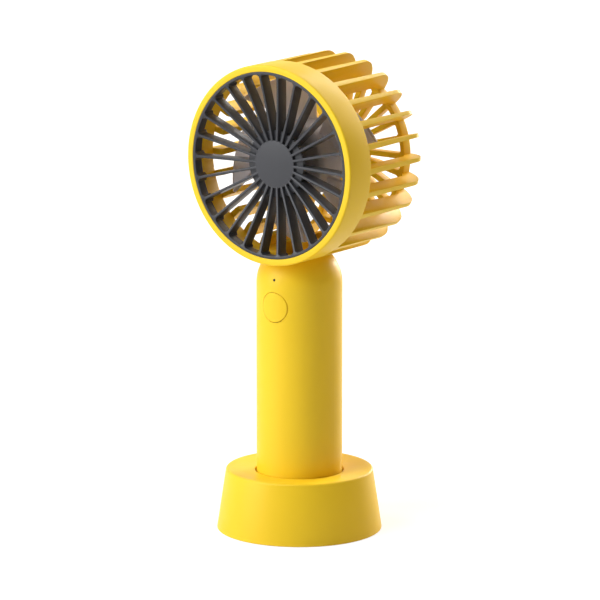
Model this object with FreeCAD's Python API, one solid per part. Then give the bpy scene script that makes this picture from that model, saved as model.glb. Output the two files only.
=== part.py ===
# Handheld fan: a finned round head on a round handle, standing in a cone shaped desk base.
# Millimetres, +Z up. The origin is the middle of the base's underside; the grille faces -Y.
# Head pieces are drawn as (radius from the head axis, y) and stem pieces as (radius, z).

import FreeCAD, Part
import math
import os
from FreeCAD import Vector

# clearances
contact_gap = 0.02          # between pieces pressed, glued or screwed together
running_gap = 0.03          # round the turning shaft
free_gap = 0.15             # round pieces that only lie in place
hole_gap = 0.1              # round a screw or plunger in its hole
weld = 0.2                  # how far moulded pieces run into each other

# desk base
base_radius = 38.2
base_top_radius = 34.1
base_height = 27.0
base_wall = 2.2
base_edge_round = 2.2
base_foot_chamfer = 0.6
base_lip_chamfer = 0.4
base_lift = 0.5             # the shell's edge clears the table by this
well_gap = 0.8              # round the handle
well_wall = 2.0
well_floor_height = 6.5
plate_thickness = 2.0
plate_rise = 0.9            # from the table to the plate
plate_gap = 0.4             # round the plate
foot_inset = 3.6
foot_width = 3.4
foot_groove = 0.9
foot_chamfer = 0.3
base_screw_count = 3
base_boss_radius = 3.2

# handle
handle_radius = 19.75
handle_wall = 2.0
end_cap_thickness = 2.5
end_cap_plug = 4.0
end_cap_plug_wall = 1.8
end_cap_chamfer = 1.0
cap_post_wall = 1.4
cap_screw_inset = 5.5       # from the handle's inside to the screw

# screws
screw_head = 1.9
screw_head_height = 1.2
screw_head_chamfer = 0.35
screw_shank = 1.0
screw_drive = 0.45          # depth of the cross
screw_cross = 2.3           # length of the cross
screw_bite = 5.5            # length of thread in the plastic
small_screw_head = 1.3
small_screw_height = 0.9
small_screw_shank = 0.8
small_screw_bite = 3.0

# battery and frame
cell_radius = 9.2
cell_length = 65.0
cell_bottom = 20.0
cell_end_gap = 0.3
cell_crimp = 0.6            # depth of the groove near the top
cell_crimp_depth = 4.5      # from the top to the groove
cell_contact_radius = 3.0
cell_contact_height = 1.2
strip_width = 5.0
strip_thickness = 0.2
strip_reach = 3.0           # under the cell and over the board
frame_gap = 0.25            # between the frame and the handle's inside
frame_wall = 1.6
frame_plate = 2.5
frame_opening = 55.0        # half angle left open at the back, degrees
frame_rib = 1.6
frame_rib_angles = (-150.0, -90.0, -30.0)

# top of the handle, its board, button and indicator
top_room = 30.7             # from the battery to the start of the dome
button_drop = 8.6           # from the start of the dome to the middle of the button
button_radius = 6.9
button_gap = 0.2
button_proud = 0.25
button_edge = 0.5
button_travel = 0.6
button_flange = 1.1
button_flange_thickness = 0.9
button_skin = 1.6
button_stem = 2.0
plunger_radius = 1.7
plunger_length = 2.0
plunger_proud = 1.2
lamp_rise = 12.7            # from the middle of the button to the pinhole
lamp_hole_radius = 0.6
lamp_recess = 0.8
board_thickness = 1.2
board_set_back = 9.55       # from the handle's surface to the board's front face
board_width = 22.0
board_drop = 17.6           # from the middle of the button to the board's lower edge
board_rise = 14.9
board_screw_inset = 1.4
switch_size = 6.0
switch_depth = 3.5
rail_depth = 4.0
rail_width = 3.4
rail_offset = 0.4           # outside the board's screws
rail_drop = 2.4             # below the board's top
board_corner = 1.0
board_shoulder = 4.0        # rounding of the board's upper corners
board_screw_low = 3.5       # above the board's lower edge
board_screw_high = 7.9      # above the middle of the button
lamp_width = 2.0
lamp_height_up = 1.2
lamp_thickness = 1.0
button_wall = 1.0
button_flange_gap = 0.4     # behind the handle's wall
button_spare_travel = 0.2

# parts in front of the main board: (x, height over its lower edge, width, height, thickness)
board_chips = (
    (0.0, 9.0, 5.0, 5.0, 1.0),
    (6.0, 10.3, 4.0, 3.6, 1.2),
    (-1.0, 2.5, 1.3, 2.1, 0.9),
    (1.6, 2.5, 1.3, 2.1, 0.9),
    (4.2, 2.5, 1.3, 2.1, 0.9),
)
coil_radius = 2.4
coil_height = 2.6
coil_x = -5.2
coil_rise = 4.5
connector_width = 6.0
connector_height = 4.5
connector_depth = 3.8
connector_rise = 10.5       # from the board's lower edge to the connector's top

# charging socket and its board
socket_rise = 20.0          # above the base's top
socket_width = 9.0
socket_thickness = 3.3
socket_depth = 7.0
socket_skin = 0.35
socket_back = 0.8
socket_clearance = 0.2
socket_flat_depth = 1.1
socket_flat_height = 7.2
socket_recess = 0.45
charge_board_width = 18.0
charge_board_height = 24.0
charge_chip = 4.0
charge_chip_thickness = 1.0
charge_chip_drop = 7.0      # from the socket's middle
charge_post_width = 2.2
charge_post_height = 18.0
charge_post_inset = 0.4
charge_post_start = 5.6
tongue_inset = 1.2
tongue_base = 1.0
tongue_set_back = 1.6       # inside the socket's mouth
tongue_thickness = 0.7

# head shell
head_sink = 8.15            # how deep the head sits in the dome
band_radius = 46.0
band_reach = 24.0           # from the handle axis forward to the band's face
band_length = 15.9
band_rim = 3.15             # flat rim round the grille
band_wall = 2.7             # at the outlet
band_seat_wall = 4.0
band_edge_round = 0.7
shell_length = 60.8
fin_count = 26
fin_depth = 7.6
fin_root = 3.2
fin_tip = 1.8
fin_corner = 8.8
fin_front_corner = 1.2
fin_bend_length = 3.2       # along the head, where a fin turns in to the back ring
fin_gap = 0.05              # between the fins and the pieces that they run into
ring_inset = 2.0
ring_width = 2.4
ring_length = 5.4
spoke_width = 2.2
spoke_depth = 2.6
spoke_set_back = 0.3
spoke_corner = 1.5
hub_radius = 15.5
hub_flange = 1.5            # flat between the hub and the windows
hub_flare = 1.5             # length of the cone between the post and the hub
post_radius = 13.0
post_wall = 1.8
post_seat = 2.0
saddle_gap = 0.05           # between the head and the handle
saddle_skin = 2.0
saddle_length = 28.6
neck_offset = 3.0           # neck behind the handle axis
neck_radius = 8.5
neck_tail = 1.8
nut_wall = 2.8
nut_length = 4.0
nut_grips = 6
nut_grip_depth = 0.9
nut_grip_width = 2.0
nut_flange = 1.2            # full round part at the nut's top
back_cap_inset = 0.4
back_cap_crown = 1.4
back_cap_edge = 1.0
back_cap_spigot = 3.0
back_cap_wall = 1.4

# front grille
grille_gap = 0.06
grille_rim = 1.35
grille_depth = 5.4
grille_rib = 1.15
grille_rib_depth = 6.2
grille_seat_flat = 1.4      # from the grille's back to the start of the outlet's flare
grille_seat_gap = 0.3       # between a rib's back and the outlet
grille_bow = 0.5            # how far the ribs curve back from a straight line
grille_corner = 1.3         # where a rib runs into the rim
disc_radius = 11.0
disc_set_back = 4.7
disc_thickness = 1.4
disc_chamfer = 0.3
disc_overlap = 1.0          # how far the ribs run into the disc
flange_radius = 15.4
flange_thickness = 1.3

# impeller: blade edges are (share of the way from hub to tip, degrees from +X up to +Z)
blade_count = 5
blade_gap = 0.5             # from the blade tips to the fins
blade_thickness = 2.0
blade_set_back = 8.7        # from the hub's face to the middle of a blade
blade_middle_angle = 38.0
leading_edge = ((-0.05, 50.0), (0.35, 54.0), (0.67, 60.5), (1.07, 66.5))
trailing_edge = ((-0.05, 6.0), (0.17, 9.5), (0.52, 12.5), (1.07, 15.5))
blade_cuts = (-0.17, 0.22, 0.62, 1.12)
blade_cut_angles = (52, 36, 18, 0, -18, -36)
blade_lead_root = 11.5      # travel along the axis per radian
blade_lead_tip = 17.2
impeller_set_back = 2.1     # from the band to the hub's face
impeller_hub_radius = 17.5
impeller_hub_length = 18.0
impeller_hub_wall = 1.6
impeller_hub_round = 2.8
hub_skin = 1.0              # in front of the shaft's end
boss_radius = 3.4

# motor
can_wall = 0.9
can_set_back = 0.6
magnet_thickness = 1.8
magnet_length = 10.0
magnet_inset = 1.0          # inside the can's open end
air_gap = 0.4
shaft_radius = 1.0
shaft_tail = 1.4
collar_radius = 2.2
collar_thickness = 0.8
collar_gap = 0.3            # behind the rear bearing
bearing_radius = 3.0
bearing_width = 2.5
bearing_shoulder = 0.5
bearing_room = 0.4          # round the rear bearing in the post
tube_wall = 1.0
tube_set_back = 3.2         # from the hub's inside
boss_gap = 0.7              # from the hub's boss to the bearing tube
core_set_back = 4.2         # from the bearing tube's front
motor_gap = 2.0             # from the impeller to the motor's seat
motor_flange_radius = 9.0
motor_flange_thickness = 2.1
motor_screw_inset = 2.2
motor_screw_count = 3
core_length = 5.4
core_sleeve = 2.6
pole_count = 9
pole_width = 2.0
pole_shoe = 1.2
pole_gap = 1.4
winding = 1.0
winding_round = 0.8
motor_board_thickness = 1.0

# leads
lead_radius = 0.7
supply_lead_x = 4.5
supply_lead_rise = 4.5      # over the main board's lower edge
supply_lead_overlap = 3.0   # on the charging board
lead_bend = 4.0
lead_gap = 0.3
lead_slack = 0.4            # room beside the lead in its grooves
lead_set_back = 2.0         # behind the main board
lead_rise = 7.5             # straight up from its connector
lead_drop = 4.0             # below the neck, where it starts to bend
lead_bore_radius = 3.0
lead_notch = 2.4
groove_reach = 1.2          # how far the notch runs into the motor post's bore
lead_depth = 3.4            # inside the fins' inner edge

# sizes that follow
pitch = 360.0 / fin_count
handle_bore = handle_radius - handle_wall
well_radius = handle_radius + well_gap
well_outer = well_radius + well_wall
plate_top = plate_rise + plate_thickness
foot_radius = base_radius - foot_inset
foot_bore = foot_radius - foot_width
base_screw_circle = (well_outer + foot_bore) / 2
handle_bottom = well_floor_height
tube_bottom = handle_bottom + end_cap_thickness
cap_screw_x = handle_bore - cap_screw_inset
cell_top = cell_bottom + cell_length
frame_radius = handle_bore - frame_gap
sleeve_bore = cell_radius + free_gap
dome_centre_height = cell_top + top_room
button_height = dome_centre_height - button_drop
button_front = -handle_radius - button_proud
lamp_height = button_height + lamp_rise
board_front = board_set_back - handle_radius
board_back = board_front + board_thickness
board_bottom = button_height - board_drop
board_top = button_height + board_rise
connector_top = board_bottom + connector_rise
board_screw_x = board_width / 2 - board_screw_inset
switch_front = board_front - switch_depth
socket_height = base_height + socket_rise
socket_face = handle_radius - socket_flat_depth
charge_board_back = socket_face - socket_recess - socket_depth
charge_board_front = charge_board_back - board_thickness
saddle_bottom = dome_centre_height + handle_radius - head_sink
head_axis_height = saddle_bottom + band_radius
neck_length = saddle_gap + handle_wall + nut_length + neck_tail
band_front = -band_reach
band_back = band_front + band_length
shell_back = band_front + shell_length
band_outlet_radius = band_radius - band_wall
grille_radius = band_radius - band_rim
grille_back = band_front + grille_depth
seat_radius = band_radius - band_seat_wall
fin_inner_radius = band_radius - fin_depth
ring_outer = fin_inner_radius - ring_inset
ring_inner = ring_outer - ring_width
ring_front = shell_back - ring_length
spoke_front = ring_front + spoke_set_back
spoke_back = spoke_front + spoke_depth
lowest_slot = round(fin_count * 0.75 - 0.5)     # between two fins, right above the handle
saddle_radius = band_radius - saddle_skin
saddle_end = band_back + saddle_length
disc_front = band_front + disc_set_back
disc_back = disc_front + disc_thickness
impeller_front = band_back + impeller_set_back
impeller_back = impeller_front + impeller_hub_length
blade_tip_radius = fin_inner_radius - blade_gap
blade_middle = impeller_front + blade_set_back
motor_seat = impeller_back + motor_gap
motor_flange_front = motor_seat - motor_flange_thickness
motor_screw_circle = motor_flange_radius - motor_screw_inset
post_bore = post_radius - post_wall
tube_radius = bearing_radius + tube_wall
tube_front = impeller_front + impeller_hub_wall + tube_set_back
boss_end = tube_front - boss_gap
can_radius = impeller_hub_radius - impeller_hub_wall - contact_gap
magnet_radius = can_radius - can_wall - contact_gap
magnet_bore = magnet_radius - magnet_thickness
stator_radius = magnet_bore - air_gap
core_front = tube_front + core_set_back
core_back = core_front + core_length
head_centre = Vector(0, 0, head_axis_height)


# Drawing helpers. Angles round the head run from +X up to +Z, in degrees.

def in_head_section(radius, y):
    return Vector(radius, y, head_axis_height)


def in_stem_section(radius, z):
    return Vector(radius, 0, z)


def rounded_wire(corners, place):
    """Closed wire through (a, b, radius) corners, each rounded by its radius."""
    spans = []
    count = len(corners)
    for index, (a, b, radius) in enumerate(corners):
        here = Vector(a, b, 0)
        if radius == 0:
            spans.append([here])
            continue
        back = Vector(*corners[index - 1][:2], 0) - here
        ahead = Vector(*corners[(index + 1) % count][:2], 0) - here
        spans.append(rounded_corner(here, back.normalize(), ahead.normalize(), radius))
    edges = []
    for index, span in enumerate(spans):
        points = [place(point.x, point.y) for point in span]
        following = spans[(index + 1) % count][0]
        end = place(following.x, following.y)
        if len(points) == 3:
            edges.append(Part.Arc(*points).toShape())
        if points[-1].distanceToPoint(end) > 1e-6:
            edges.append(Part.LineSegment(points[-1], end).toShape())
    return Part.Wire(edges)


def rounded_corner(here, back, ahead, radius):
    """First, middle and last point of the arc in a corner between two directions."""
    half = back.getAngle(ahead) / 2
    reach = radius / math.tan(half)
    towards = (back + ahead).normalize()
    middle = here + towards * (radius / math.sin(half) - radius)
    return [here + back * reach, middle, here + ahead * reach]


def turned_head(corners):
    face = Part.Face(rounded_wire(corners, in_head_section))
    return face.revolve(head_centre, Vector(0, -1, 0), 360)


def turned_stem(corners):
    face = Part.Face(rounded_wire(corners, in_stem_section))
    return face.revolve(Vector(0, 0, 0), Vector(0, 0, 1), 360)


def round_head(shape, angle):
    copy = shape.copy()
    copy.rotate(head_centre, Vector(0, -1, 0), angle)
    return copy


def round_stem(shape, angle):
    copy = shape.copy()
    copy.rotate(Vector(0, 0, 0), Vector(0, 0, 1), angle)
    return copy


def spread_round_head(shape, count, first=0.0):
    return [round_head(shape, first + index * 360.0 / count) for index in range(count)]


def spread_round_stem(shape, count, first=0.0):
    return [round_stem(shape, first + index * 360.0 / count) for index in range(count)]


def rod_z(radius, bottom, top, x=0.0, y=0.0):
    return Part.makeCylinder(radius, top - bottom, Vector(x, y, bottom))


def rod_y(radius, start, end, z, x=0.0):
    return Part.makeCylinder(radius, end - start, Vector(x, start, z), Vector(0, 1, 0))


def head_tube(outer, inner, start, end):
    return rod_y(outer, start, end, head_axis_height).cut(rod_y(inner, start, end, head_axis_height))


def block(x, y, z):
    """Box given by its (low, high) pair along each axis."""
    size = [high - low for low, high in (x, y, z)]
    return Part.makeBox(*size, Vector(x[0], y[0], z[0]))


def around(middle, width):
    return middle - width / 2, middle + width / 2


def prism_y(wire, start, end):
    """Solid from a wire drawn as (x, z), between two places along Y."""
    face = Part.Face(wire)
    face.translate(Vector(0, start, 0))
    return face.extrude(Vector(0, end - start, 0))


def in_front_view(x, z):
    return Vector(x, 0, z)


def closed_wire(points):
    return Part.makePolygon(points + points[:1])


def fused(shapes):
    return shapes[0].multiFuse(shapes[1:]).removeSplitter()


def without(shape, cuts):
    return shape.cut(Part.makeCompound(cuts))


def lead(points):
    """Round lead along straight runs joined by tangent arcs."""
    edges = []
    start = points[0]
    for before, here, after in zip(points, points[1:], points[2:]):
        back = before - here
        ahead = after - here
        reach = min(lead_bend, 0.45 * back.Length, 0.45 * ahead.Length)
        half = back.getAngle(ahead) / 2
        radius = reach * math.tan(half)
        first, middle, last = rounded_corner(here, back.normalize(), ahead.normalize(), radius)
        edges.append(Part.LineSegment(start, first).toShape())
        edges.append(Part.Arc(first, middle, last).toShape())
        start = last
    edges.append(Part.LineSegment(start, points[-1]).toShape())
    section = Part.Wire(Part.makeCircle(lead_radius, points[0], points[1] - points[0]))
    return Part.Wire(edges).makePipeShell([section], True, True)


# Screws. Each is drawn upright, with its drive facing down, and turned where it goes.

def screw(x, seat, grip):
    """Pan head screw: its head bears on the seat and its thread ends past the grip."""
    low = seat - screw_head_height
    head = turned_stem([
        (0, low, 0),
        (screw_head - screw_head_chamfer, low, 0),
        (screw_head, low + screw_head_chamfer, 0),
        (screw_head, seat, 0),
        (0, seat, 0),
    ])
    shank = rod_z(screw_shank, seat, seat + grip + screw_bite)
    depth = (low, low + screw_drive)
    cross = [
        block(around(0, screw_cross), around(0, screw_drive), depth),
        block(around(0, screw_drive), around(0, screw_cross), depth),
    ]
    return without(head.fuse(shank), cross).translated(Vector(x, 0, 0))


def screw_hole(x, bottom, top):
    """Through hole with a counterbore for a pan head, open at the bottom."""
    seat = bottom + screw_head_height
    counterbore = rod_z(screw_head + free_gap, bottom - 1, seat, x)
    return counterbore.fuse(rod_z(screw_shank + free_gap, seat, top + 1, x))


def small_screw(x, seat, z, grip):
    """Small screw along +Y, its head in front of the seat."""
    head = rod_y(small_screw_head, seat - small_screw_height, seat, z, x)
    return head.fuse(rod_y(small_screw_shank, seat, seat + grip + small_screw_bite, z, x))


# Desk base

def base_outline(inset):
    """Radii of the cone at its foot and its top, moved inwards by a wall."""
    slope = (base_radius - base_top_radius) / (base_height - base_lift)
    shift = inset * math.hypot(1, slope)
    return base_radius - shift, base_top_radius - shift + slope * inset


def base_shell():
    foot, top = base_outline(0)
    inner_foot, inner_top = base_outline(base_wall)
    roof = base_height - base_wall
    underside = well_floor_height - well_wall
    shell = turned_stem([
        (0, well_floor_height, 0),
        (well_radius, well_floor_height, 0),
        (well_radius, base_height - base_lip_chamfer, 0),
        (well_radius + base_lip_chamfer, base_height, 0),
        (top, base_height, base_edge_round),
        (foot, base_lift + base_foot_chamfer, 0),
        (foot - base_foot_chamfer, base_lift, 0),
        (inner_foot, base_lift, 0),
        (inner_top, roof, 0),
        (well_outer, roof, 0),
        (well_outer, underside, 0),
        (0, underside, 0),
    ])
    boss = rod_z(base_boss_radius, plate_top, roof + weld, base_screw_circle)
    pilot = rod_z(screw_shank + contact_gap, plate_top - 1, plate_top + screw_bite + 1, base_screw_circle)
    bosses = spread_round_stem(boss, base_screw_count, 90)
    return without(fused([shell] + bosses), spread_round_stem(pilot, base_screw_count, 90))


def base_plate():
    edge = base_outline(base_wall)[0] - plate_gap
    groove_top = plate_rise + foot_groove
    plate = turned_stem([
        (0, plate_rise, 0),
        (foot_bore, plate_rise, 0),
        (foot_bore, groove_top, 0),
        (foot_radius, groove_top, 0),
        (foot_radius, plate_rise, 0),
        (edge, plate_rise, 0),
        (edge, plate_top, 0),
        (0, plate_top, 0),
    ])
    hole = screw_hole(base_screw_circle, plate_rise, plate_top)
    return without(plate, spread_round_stem(hole, base_screw_count, 90))


def foot_ring():
    top = plate_rise + foot_groove - contact_gap
    inner = foot_bore + contact_gap
    outer = foot_radius - contact_gap
    return turned_stem([
        (inner, foot_chamfer, 0),
        (inner + foot_chamfer, 0, 0),
        (outer - foot_chamfer, 0, 0),
        (outer, foot_chamfer, 0),
        (outer, top, 0),
        (inner, top, 0),
    ])


def base_screws():
    seat = plate_rise + screw_head_height
    one = screw(base_screw_circle, seat, plate_top - seat)
    return Part.makeCompound(spread_round_stem(one, base_screw_count, 90))


# Handle

def domed_rod(radius):
    """Round rod from the tube's lower end, closed by a dome."""
    dome = Part.makeSphere(radius, Vector(0, 0, dome_centre_height))
    upper = dome.common(rod_z(radius, dome_centre_height, head_axis_height))
    return rod_z(radius, tube_bottom, dome_centre_height).fuse(upper)


def handle_shell():
    """Domed tube, hollowed on top to fit under the round head."""
    reach = handle_radius + 1
    saddle = rod_y(band_radius + saddle_gap, -reach, reach, head_axis_height)
    roof = rod_y(band_radius + saddle_gap + handle_wall, -reach, reach, head_axis_height)
    body = domed_rod(handle_radius).cut(saddle).cut(domed_rod(handle_bore).cut(roof))
    flat = block(around(0, handle_radius), (socket_face, reach), around(socket_height, socket_flat_height))
    cuts = [
        rod_y(button_radius + button_gap, -reach, 0, button_height),
        rod_y(lamp_hole_radius, -reach, 0, lamp_height),
        rod_z(neck_radius + contact_gap, saddle_bottom - neck_length, head_axis_height, 0, neck_offset),
        socket_prism(socket_clearance, 0, reach),
        flat,
    ]
    return without(body, cuts).removeSplitter()


def end_cap():
    """Cap whose ring plugs the tube, with a post under each frame screw."""
    plug = handle_bore - 2 * contact_gap
    plug_top = tube_bottom + end_cap_plug
    cap = turned_stem([
        (0, handle_bottom, 0),
        (handle_radius - end_cap_chamfer, handle_bottom, 0),
        (handle_radius, handle_bottom + end_cap_chamfer, 0),
        (handle_radius, tube_bottom, 0),
        (plug, tube_bottom, 0),
        (plug, plug_top, 0),
        (plug - end_cap_plug_wall, plug_top, 0),
        (plug - end_cap_plug_wall, tube_bottom, 0),
        (0, tube_bottom, 0),
    ])
    frame_floor = cell_bottom - frame_plate
    post = rod_z(screw_head + cap_post_wall, tube_bottom - weld, frame_floor, cap_screw_x)
    hole = screw_hole(cap_screw_x, handle_bottom, frame_floor)
    return without(fused([cap] + spread_round_stem(post, 2)), spread_round_stem(hole, 2))


def end_cap_screws():
    seat = handle_bottom + screw_head_height
    one = screw(cap_screw_x, seat, cell_bottom - frame_plate - seat)
    return Part.makeCompound(spread_round_stem(one, 2))


# Battery and the frame that holds everything in the handle

def frame_cradle():
    """Sleeve round the battery, open at the back, with ribs to the handle's inside."""
    sleeve_radius = sleeve_bore + frame_wall
    height = (cell_bottom - weld, cell_top + weld)
    sleeve = rod_z(sleeve_radius, *height)
    window = Part.makeCylinder(
        sleeve_radius + 1, cell_length + 2, Vector(0, 0, cell_bottom - 1), Vector(0, 0, 1), 2 * frame_opening)
    window = round_stem(window, 90 - frame_opening)
    rib = block((sleeve_bore + frame_wall / 2, frame_radius), around(0, frame_rib), height)
    side = math.degrees(frame_rib / sleeve_bore)
    angles = frame_rib_angles + (90 - frame_opening - side, 90 + frame_opening + side)
    return fused([sleeve.cut(window)] + [round_stem(rib, angle) for angle in angles])


def board_rails():
    """Two rails behind the main board and two posts behind the charging board."""
    rails = []
    for side in (-1, 1):
        rail_x = side * (board_screw_x + rail_offset)
        post_x = side * (charge_board_width / 2 - charge_post_inset)
        rails.append(block(around(rail_x, rail_width), (board_back, board_back + rail_depth),
                           (cell_top, board_top - rail_drop)))
        rails.append(block(around(post_x, charge_post_width), (charge_post_start, charge_board_front),
                           around(socket_height, charge_post_height)))
    return rails


def inner_frame():
    floor = rod_z(frame_radius, cell_bottom - frame_plate, cell_bottom)
    roof = rod_z(frame_radius, cell_top, cell_top + frame_plate)
    whole = fused([floor, roof, frame_cradle()] + board_rails())
    room = cell_bottom + screw_bite
    cuts = [rod_z(sleeve_bore, cell_bottom, cell_top)]
    cuts += spread_round_stem(rod_z(screw_shank + contact_gap, 0, room, cap_screw_x), 2)
    for x, z in board_screw_places():
        cuts.append(rod_y(small_screw_shank + contact_gap, board_back - 1, board_back + rail_depth + 1, z, x))
    roof_hole = rod_z(lead_radius + lead_gap, cell_top - 1, cell_top + frame_plate + 1, 0, supply_lead_y())
    cuts += [roof_hole.translated(Vector(x, 0, 0)) for x in supply_lead_places()]
    return without(whole, cuts)


def battery_cell():
    """Standard round cell with a crimp groove and a raised contact."""
    crimp = cell_top - cell_crimp_depth
    shoulder = cell_top - cell_contact_height
    return turned_stem([
        (0, cell_bottom + cell_end_gap, 0),
        (cell_radius, cell_bottom + cell_end_gap, 0),
        (cell_radius, crimp - cell_crimp, 0),
        (cell_radius - cell_crimp, crimp, 0),
        (cell_radius, crimp + cell_crimp, 0),
        (cell_radius, shoulder - cell_crimp, 0),
        (cell_radius - cell_crimp, shoulder, 0),
        (cell_contact_radius, shoulder, 0),
        (cell_contact_radius, cell_top - cell_end_gap, 0),
        (0, cell_top - cell_end_gap, 0),
    ])


def battery_tabs():
    """Strips from the cell's ends along its open side to the charging board."""
    strips = []
    side = (cell_radius + contact_gap, cell_radius + contact_gap + strip_thickness)
    board_low = socket_height - charge_board_height / 2
    board_high = socket_height + charge_board_height / 2
    for end, inwards, reach in ((cell_bottom, 1, board_low), (cell_top, -1, board_high)):
        face = end + inwards * 2 * contact_gap
        inner = face + inwards * strip_thickness
        flat = block(around(0, strip_width), (-strip_reach, side[1]), sorted((face, inner)))
        run = block(around(0, strip_width), side, sorted((face, reach + inwards * strip_reach)))
        strips.append(flat.fuse(run).removeSplitter())
    return Part.makeCompound(strips)


# Charging board and socket

def socket_prism(grow, start, end):
    """Flat sided, round ended prism of the socket along Y, grown all round."""
    half = socket_width / 2 + grow
    thick = socket_thickness / 2 + grow
    corner = thick - contact_gap
    corners = [
        (-half, socket_height - thick, corner),
        (half, socket_height - thick, corner),
        (half, socket_height + thick, corner),
        (-half, socket_height + thick, corner),
    ]
    return prism_y(rounded_wire(corners, in_front_view), start, end)


def charge_board():
    board = block(around(0, charge_board_width), (charge_board_front, charge_board_back),
                  around(socket_height, charge_board_height))
    chip = block(around(0, charge_chip), (charge_board_back, charge_board_back + charge_chip_thickness),
                 around(socket_height - charge_chip_drop, charge_chip))
    return board.fuse(chip)


def charge_socket():
    end = charge_board_back + socket_depth
    shell = socket_prism(0, charge_board_back, end)
    return shell.cut(socket_prism(-socket_skin, charge_board_back + socket_back, end + 1))


def socket_tongue():
    start = charge_board_back + socket_back
    base = socket_prism(-socket_skin - contact_gap, start, start + tongue_base)
    tongue = block(around(0, socket_width - 2 * tongue_inset),
                   (start, start + socket_depth - tongue_set_back),
                   around(socket_height, tongue_thickness))
    return tongue.fuse(base)


def supply_lead_places():
    return (-supply_lead_x, supply_lead_x)


def supply_lead_y():
    return charge_board_back + lead_radius + contact_gap


def battery_leads():
    """Two leads from the back of the charging board over to the main board."""
    leads = []
    low = socket_height + charge_board_height / 2 - supply_lead_overlap
    high = board_bottom + supply_lead_rise
    for x in supply_lead_places():
        leads.append(lead([
            Vector(x, supply_lead_y(), low),
            Vector(x, supply_lead_y(), high),
            Vector(x, board_back + contact_gap, high),
        ]))
    return Part.makeCompound(leads)


# Main board, switch, button and indicator

def board_screw_places():
    heights = (board_bottom + board_screw_low, button_height + board_screw_high)
    return [(side * board_screw_x, z) for side in (-1, 1) for z in heights]


def control_board():
    half = board_width / 2
    corners = [
        (-half, board_bottom, board_corner),
        (half, board_bottom, board_corner),
        (half, board_top, board_shoulder),
        (-half, board_top, board_shoulder),
    ]
    board = prism_y(rounded_wire(corners, in_front_view), board_front, board_back)
    hole = small_screw_shank + hole_gap
    holes = [rod_y(hole, board_front, board_back, z, x) for x, z in board_screw_places()]
    return without(board, holes)


def board_screws():
    screws = [small_screw(x, board_front, z, board_thickness) for x, z in board_screw_places()]
    return Part.makeCompound(screws)


def board_parts():
    """Chips, capacitors and a coil in front of the board and a lead connector behind."""
    parts = []
    for x, rise, width, height, thickness in board_chips:
        parts.append(block(around(x, width), (board_front - thickness, board_front),
                           around(board_bottom + rise, height)))
    parts.append(rod_y(coil_radius, board_front - coil_height, board_front,
                       board_bottom + coil_rise, coil_x))
    parts.append(block(around(0, connector_width), (board_back, board_back + connector_depth),
                       (connector_top - connector_height, connector_top)))
    return Part.makeCompound(parts)


def switch_body():
    body = block(around(0, switch_size), (switch_front, board_front), around(button_height, switch_size))
    depth = plunger_length - plunger_proud + button_travel + button_spare_travel
    return body.cut(rod_y(plunger_radius + hole_gap, switch_front - 1, switch_front + depth, button_height))


def switch_plunger():
    start = switch_front - plunger_proud
    return rod_y(plunger_radius, start, start + plunger_length, button_height)


def button_cap():
    """Hollow cap whose face follows the handle, with a flange behind the wall."""
    rear = switch_front - plunger_proud
    flange_radius_here = button_radius + button_flange
    flange = button_flange_gap - math.sqrt(handle_bore ** 2 - flange_radius_here ** 2)
    inside = button_radius - button_wall
    skin = button_front + button_skin
    blank = button_front - 1
    wire = rounded_wire([
        (0, blank, 0),
        (button_radius, blank, 0),
        (button_radius, flange, 0),
        (flange_radius_here, flange, 0),
        (flange_radius_here, flange + button_flange_thickness, 0),
        (inside, flange + button_flange_thickness, 0),
        (inside, skin, 0),
        (button_stem, skin, 0),
        (button_stem, rear, 0),
        (0, rear, 0),
    ], lambda radius, y: Vector(radius, y, button_height))
    cap = Part.Face(wire).revolve(Vector(0, 0, button_height), Vector(0, 1, 0), 360)
    reach = 2 * button_radius
    cap = cap.common(rod_z(-button_front, button_height - reach, button_height + reach))
    rim = [edge for edge in cap.Edges
           if edge.BoundBox.YMin < 0.9 * button_front and edge.BoundBox.ZLength > button_radius + inside]
    return cap.makeFillet(button_edge, rim)


def light_pipe():
    surface = math.sqrt(handle_radius ** 2 - (lamp_height - dome_centre_height) ** 2)
    return rod_y(lamp_hole_radius - contact_gap, lamp_recess - surface,
                 board_front - lamp_thickness - hole_gap, lamp_height)


def indicator_lamp():
    return block(around(0, lamp_width), (board_front - lamp_thickness, board_front),
                 around(lamp_height, lamp_height_up))


# Head: a round band in front, fins behind it, and a spoked back that carries the motor post

def head_band():
    """Round band with the grille's seat in front and a flared outlet behind."""
    mouth = grille_radius + grille_gap
    return turned_head([
        (mouth, band_front, 0),
        (band_radius, band_front, band_edge_round),
        (band_radius, band_back, 0),
        (band_outlet_radius, band_back, 0),
        (seat_radius, grille_back + grille_seat_flat, 0),
        (seat_radius, grille_back + contact_gap, 0),
        (mouth, grille_back + contact_gap, 0),
    ])


def fin():
    """One fin: its side view, thinned towards the back by a wedge drawn from above."""
    foot = ring_outer + fin_gap
    side_view = rounded_wire([
        (band_radius, band_back, 0),
        (band_radius, shell_back, fin_corner),
        (foot, shell_back, 0),
        (foot, ring_front, 0),
        (fin_inner_radius, ring_front - fin_bend_length, 0),
        (fin_inner_radius, band_back, fin_front_corner),
    ], in_head_section)
    body = Part.Face(side_view)
    body.translate(Vector(0, 0, -fin_root / 2))
    body = body.extrude(Vector(0, 0, fin_root))
    wedge = Part.Face(closed_wire([
        Vector(foot - 1, y, head_axis_height + across)
        for y, across in ((band_back, -fin_root / 2), (shell_back, -fin_tip / 2),
                          (shell_back, fin_tip / 2), (band_back, fin_root / 2))]))
    return body.common(wedge.extrude(Vector(fin_depth + fin_corner, 0, 0)))


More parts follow.
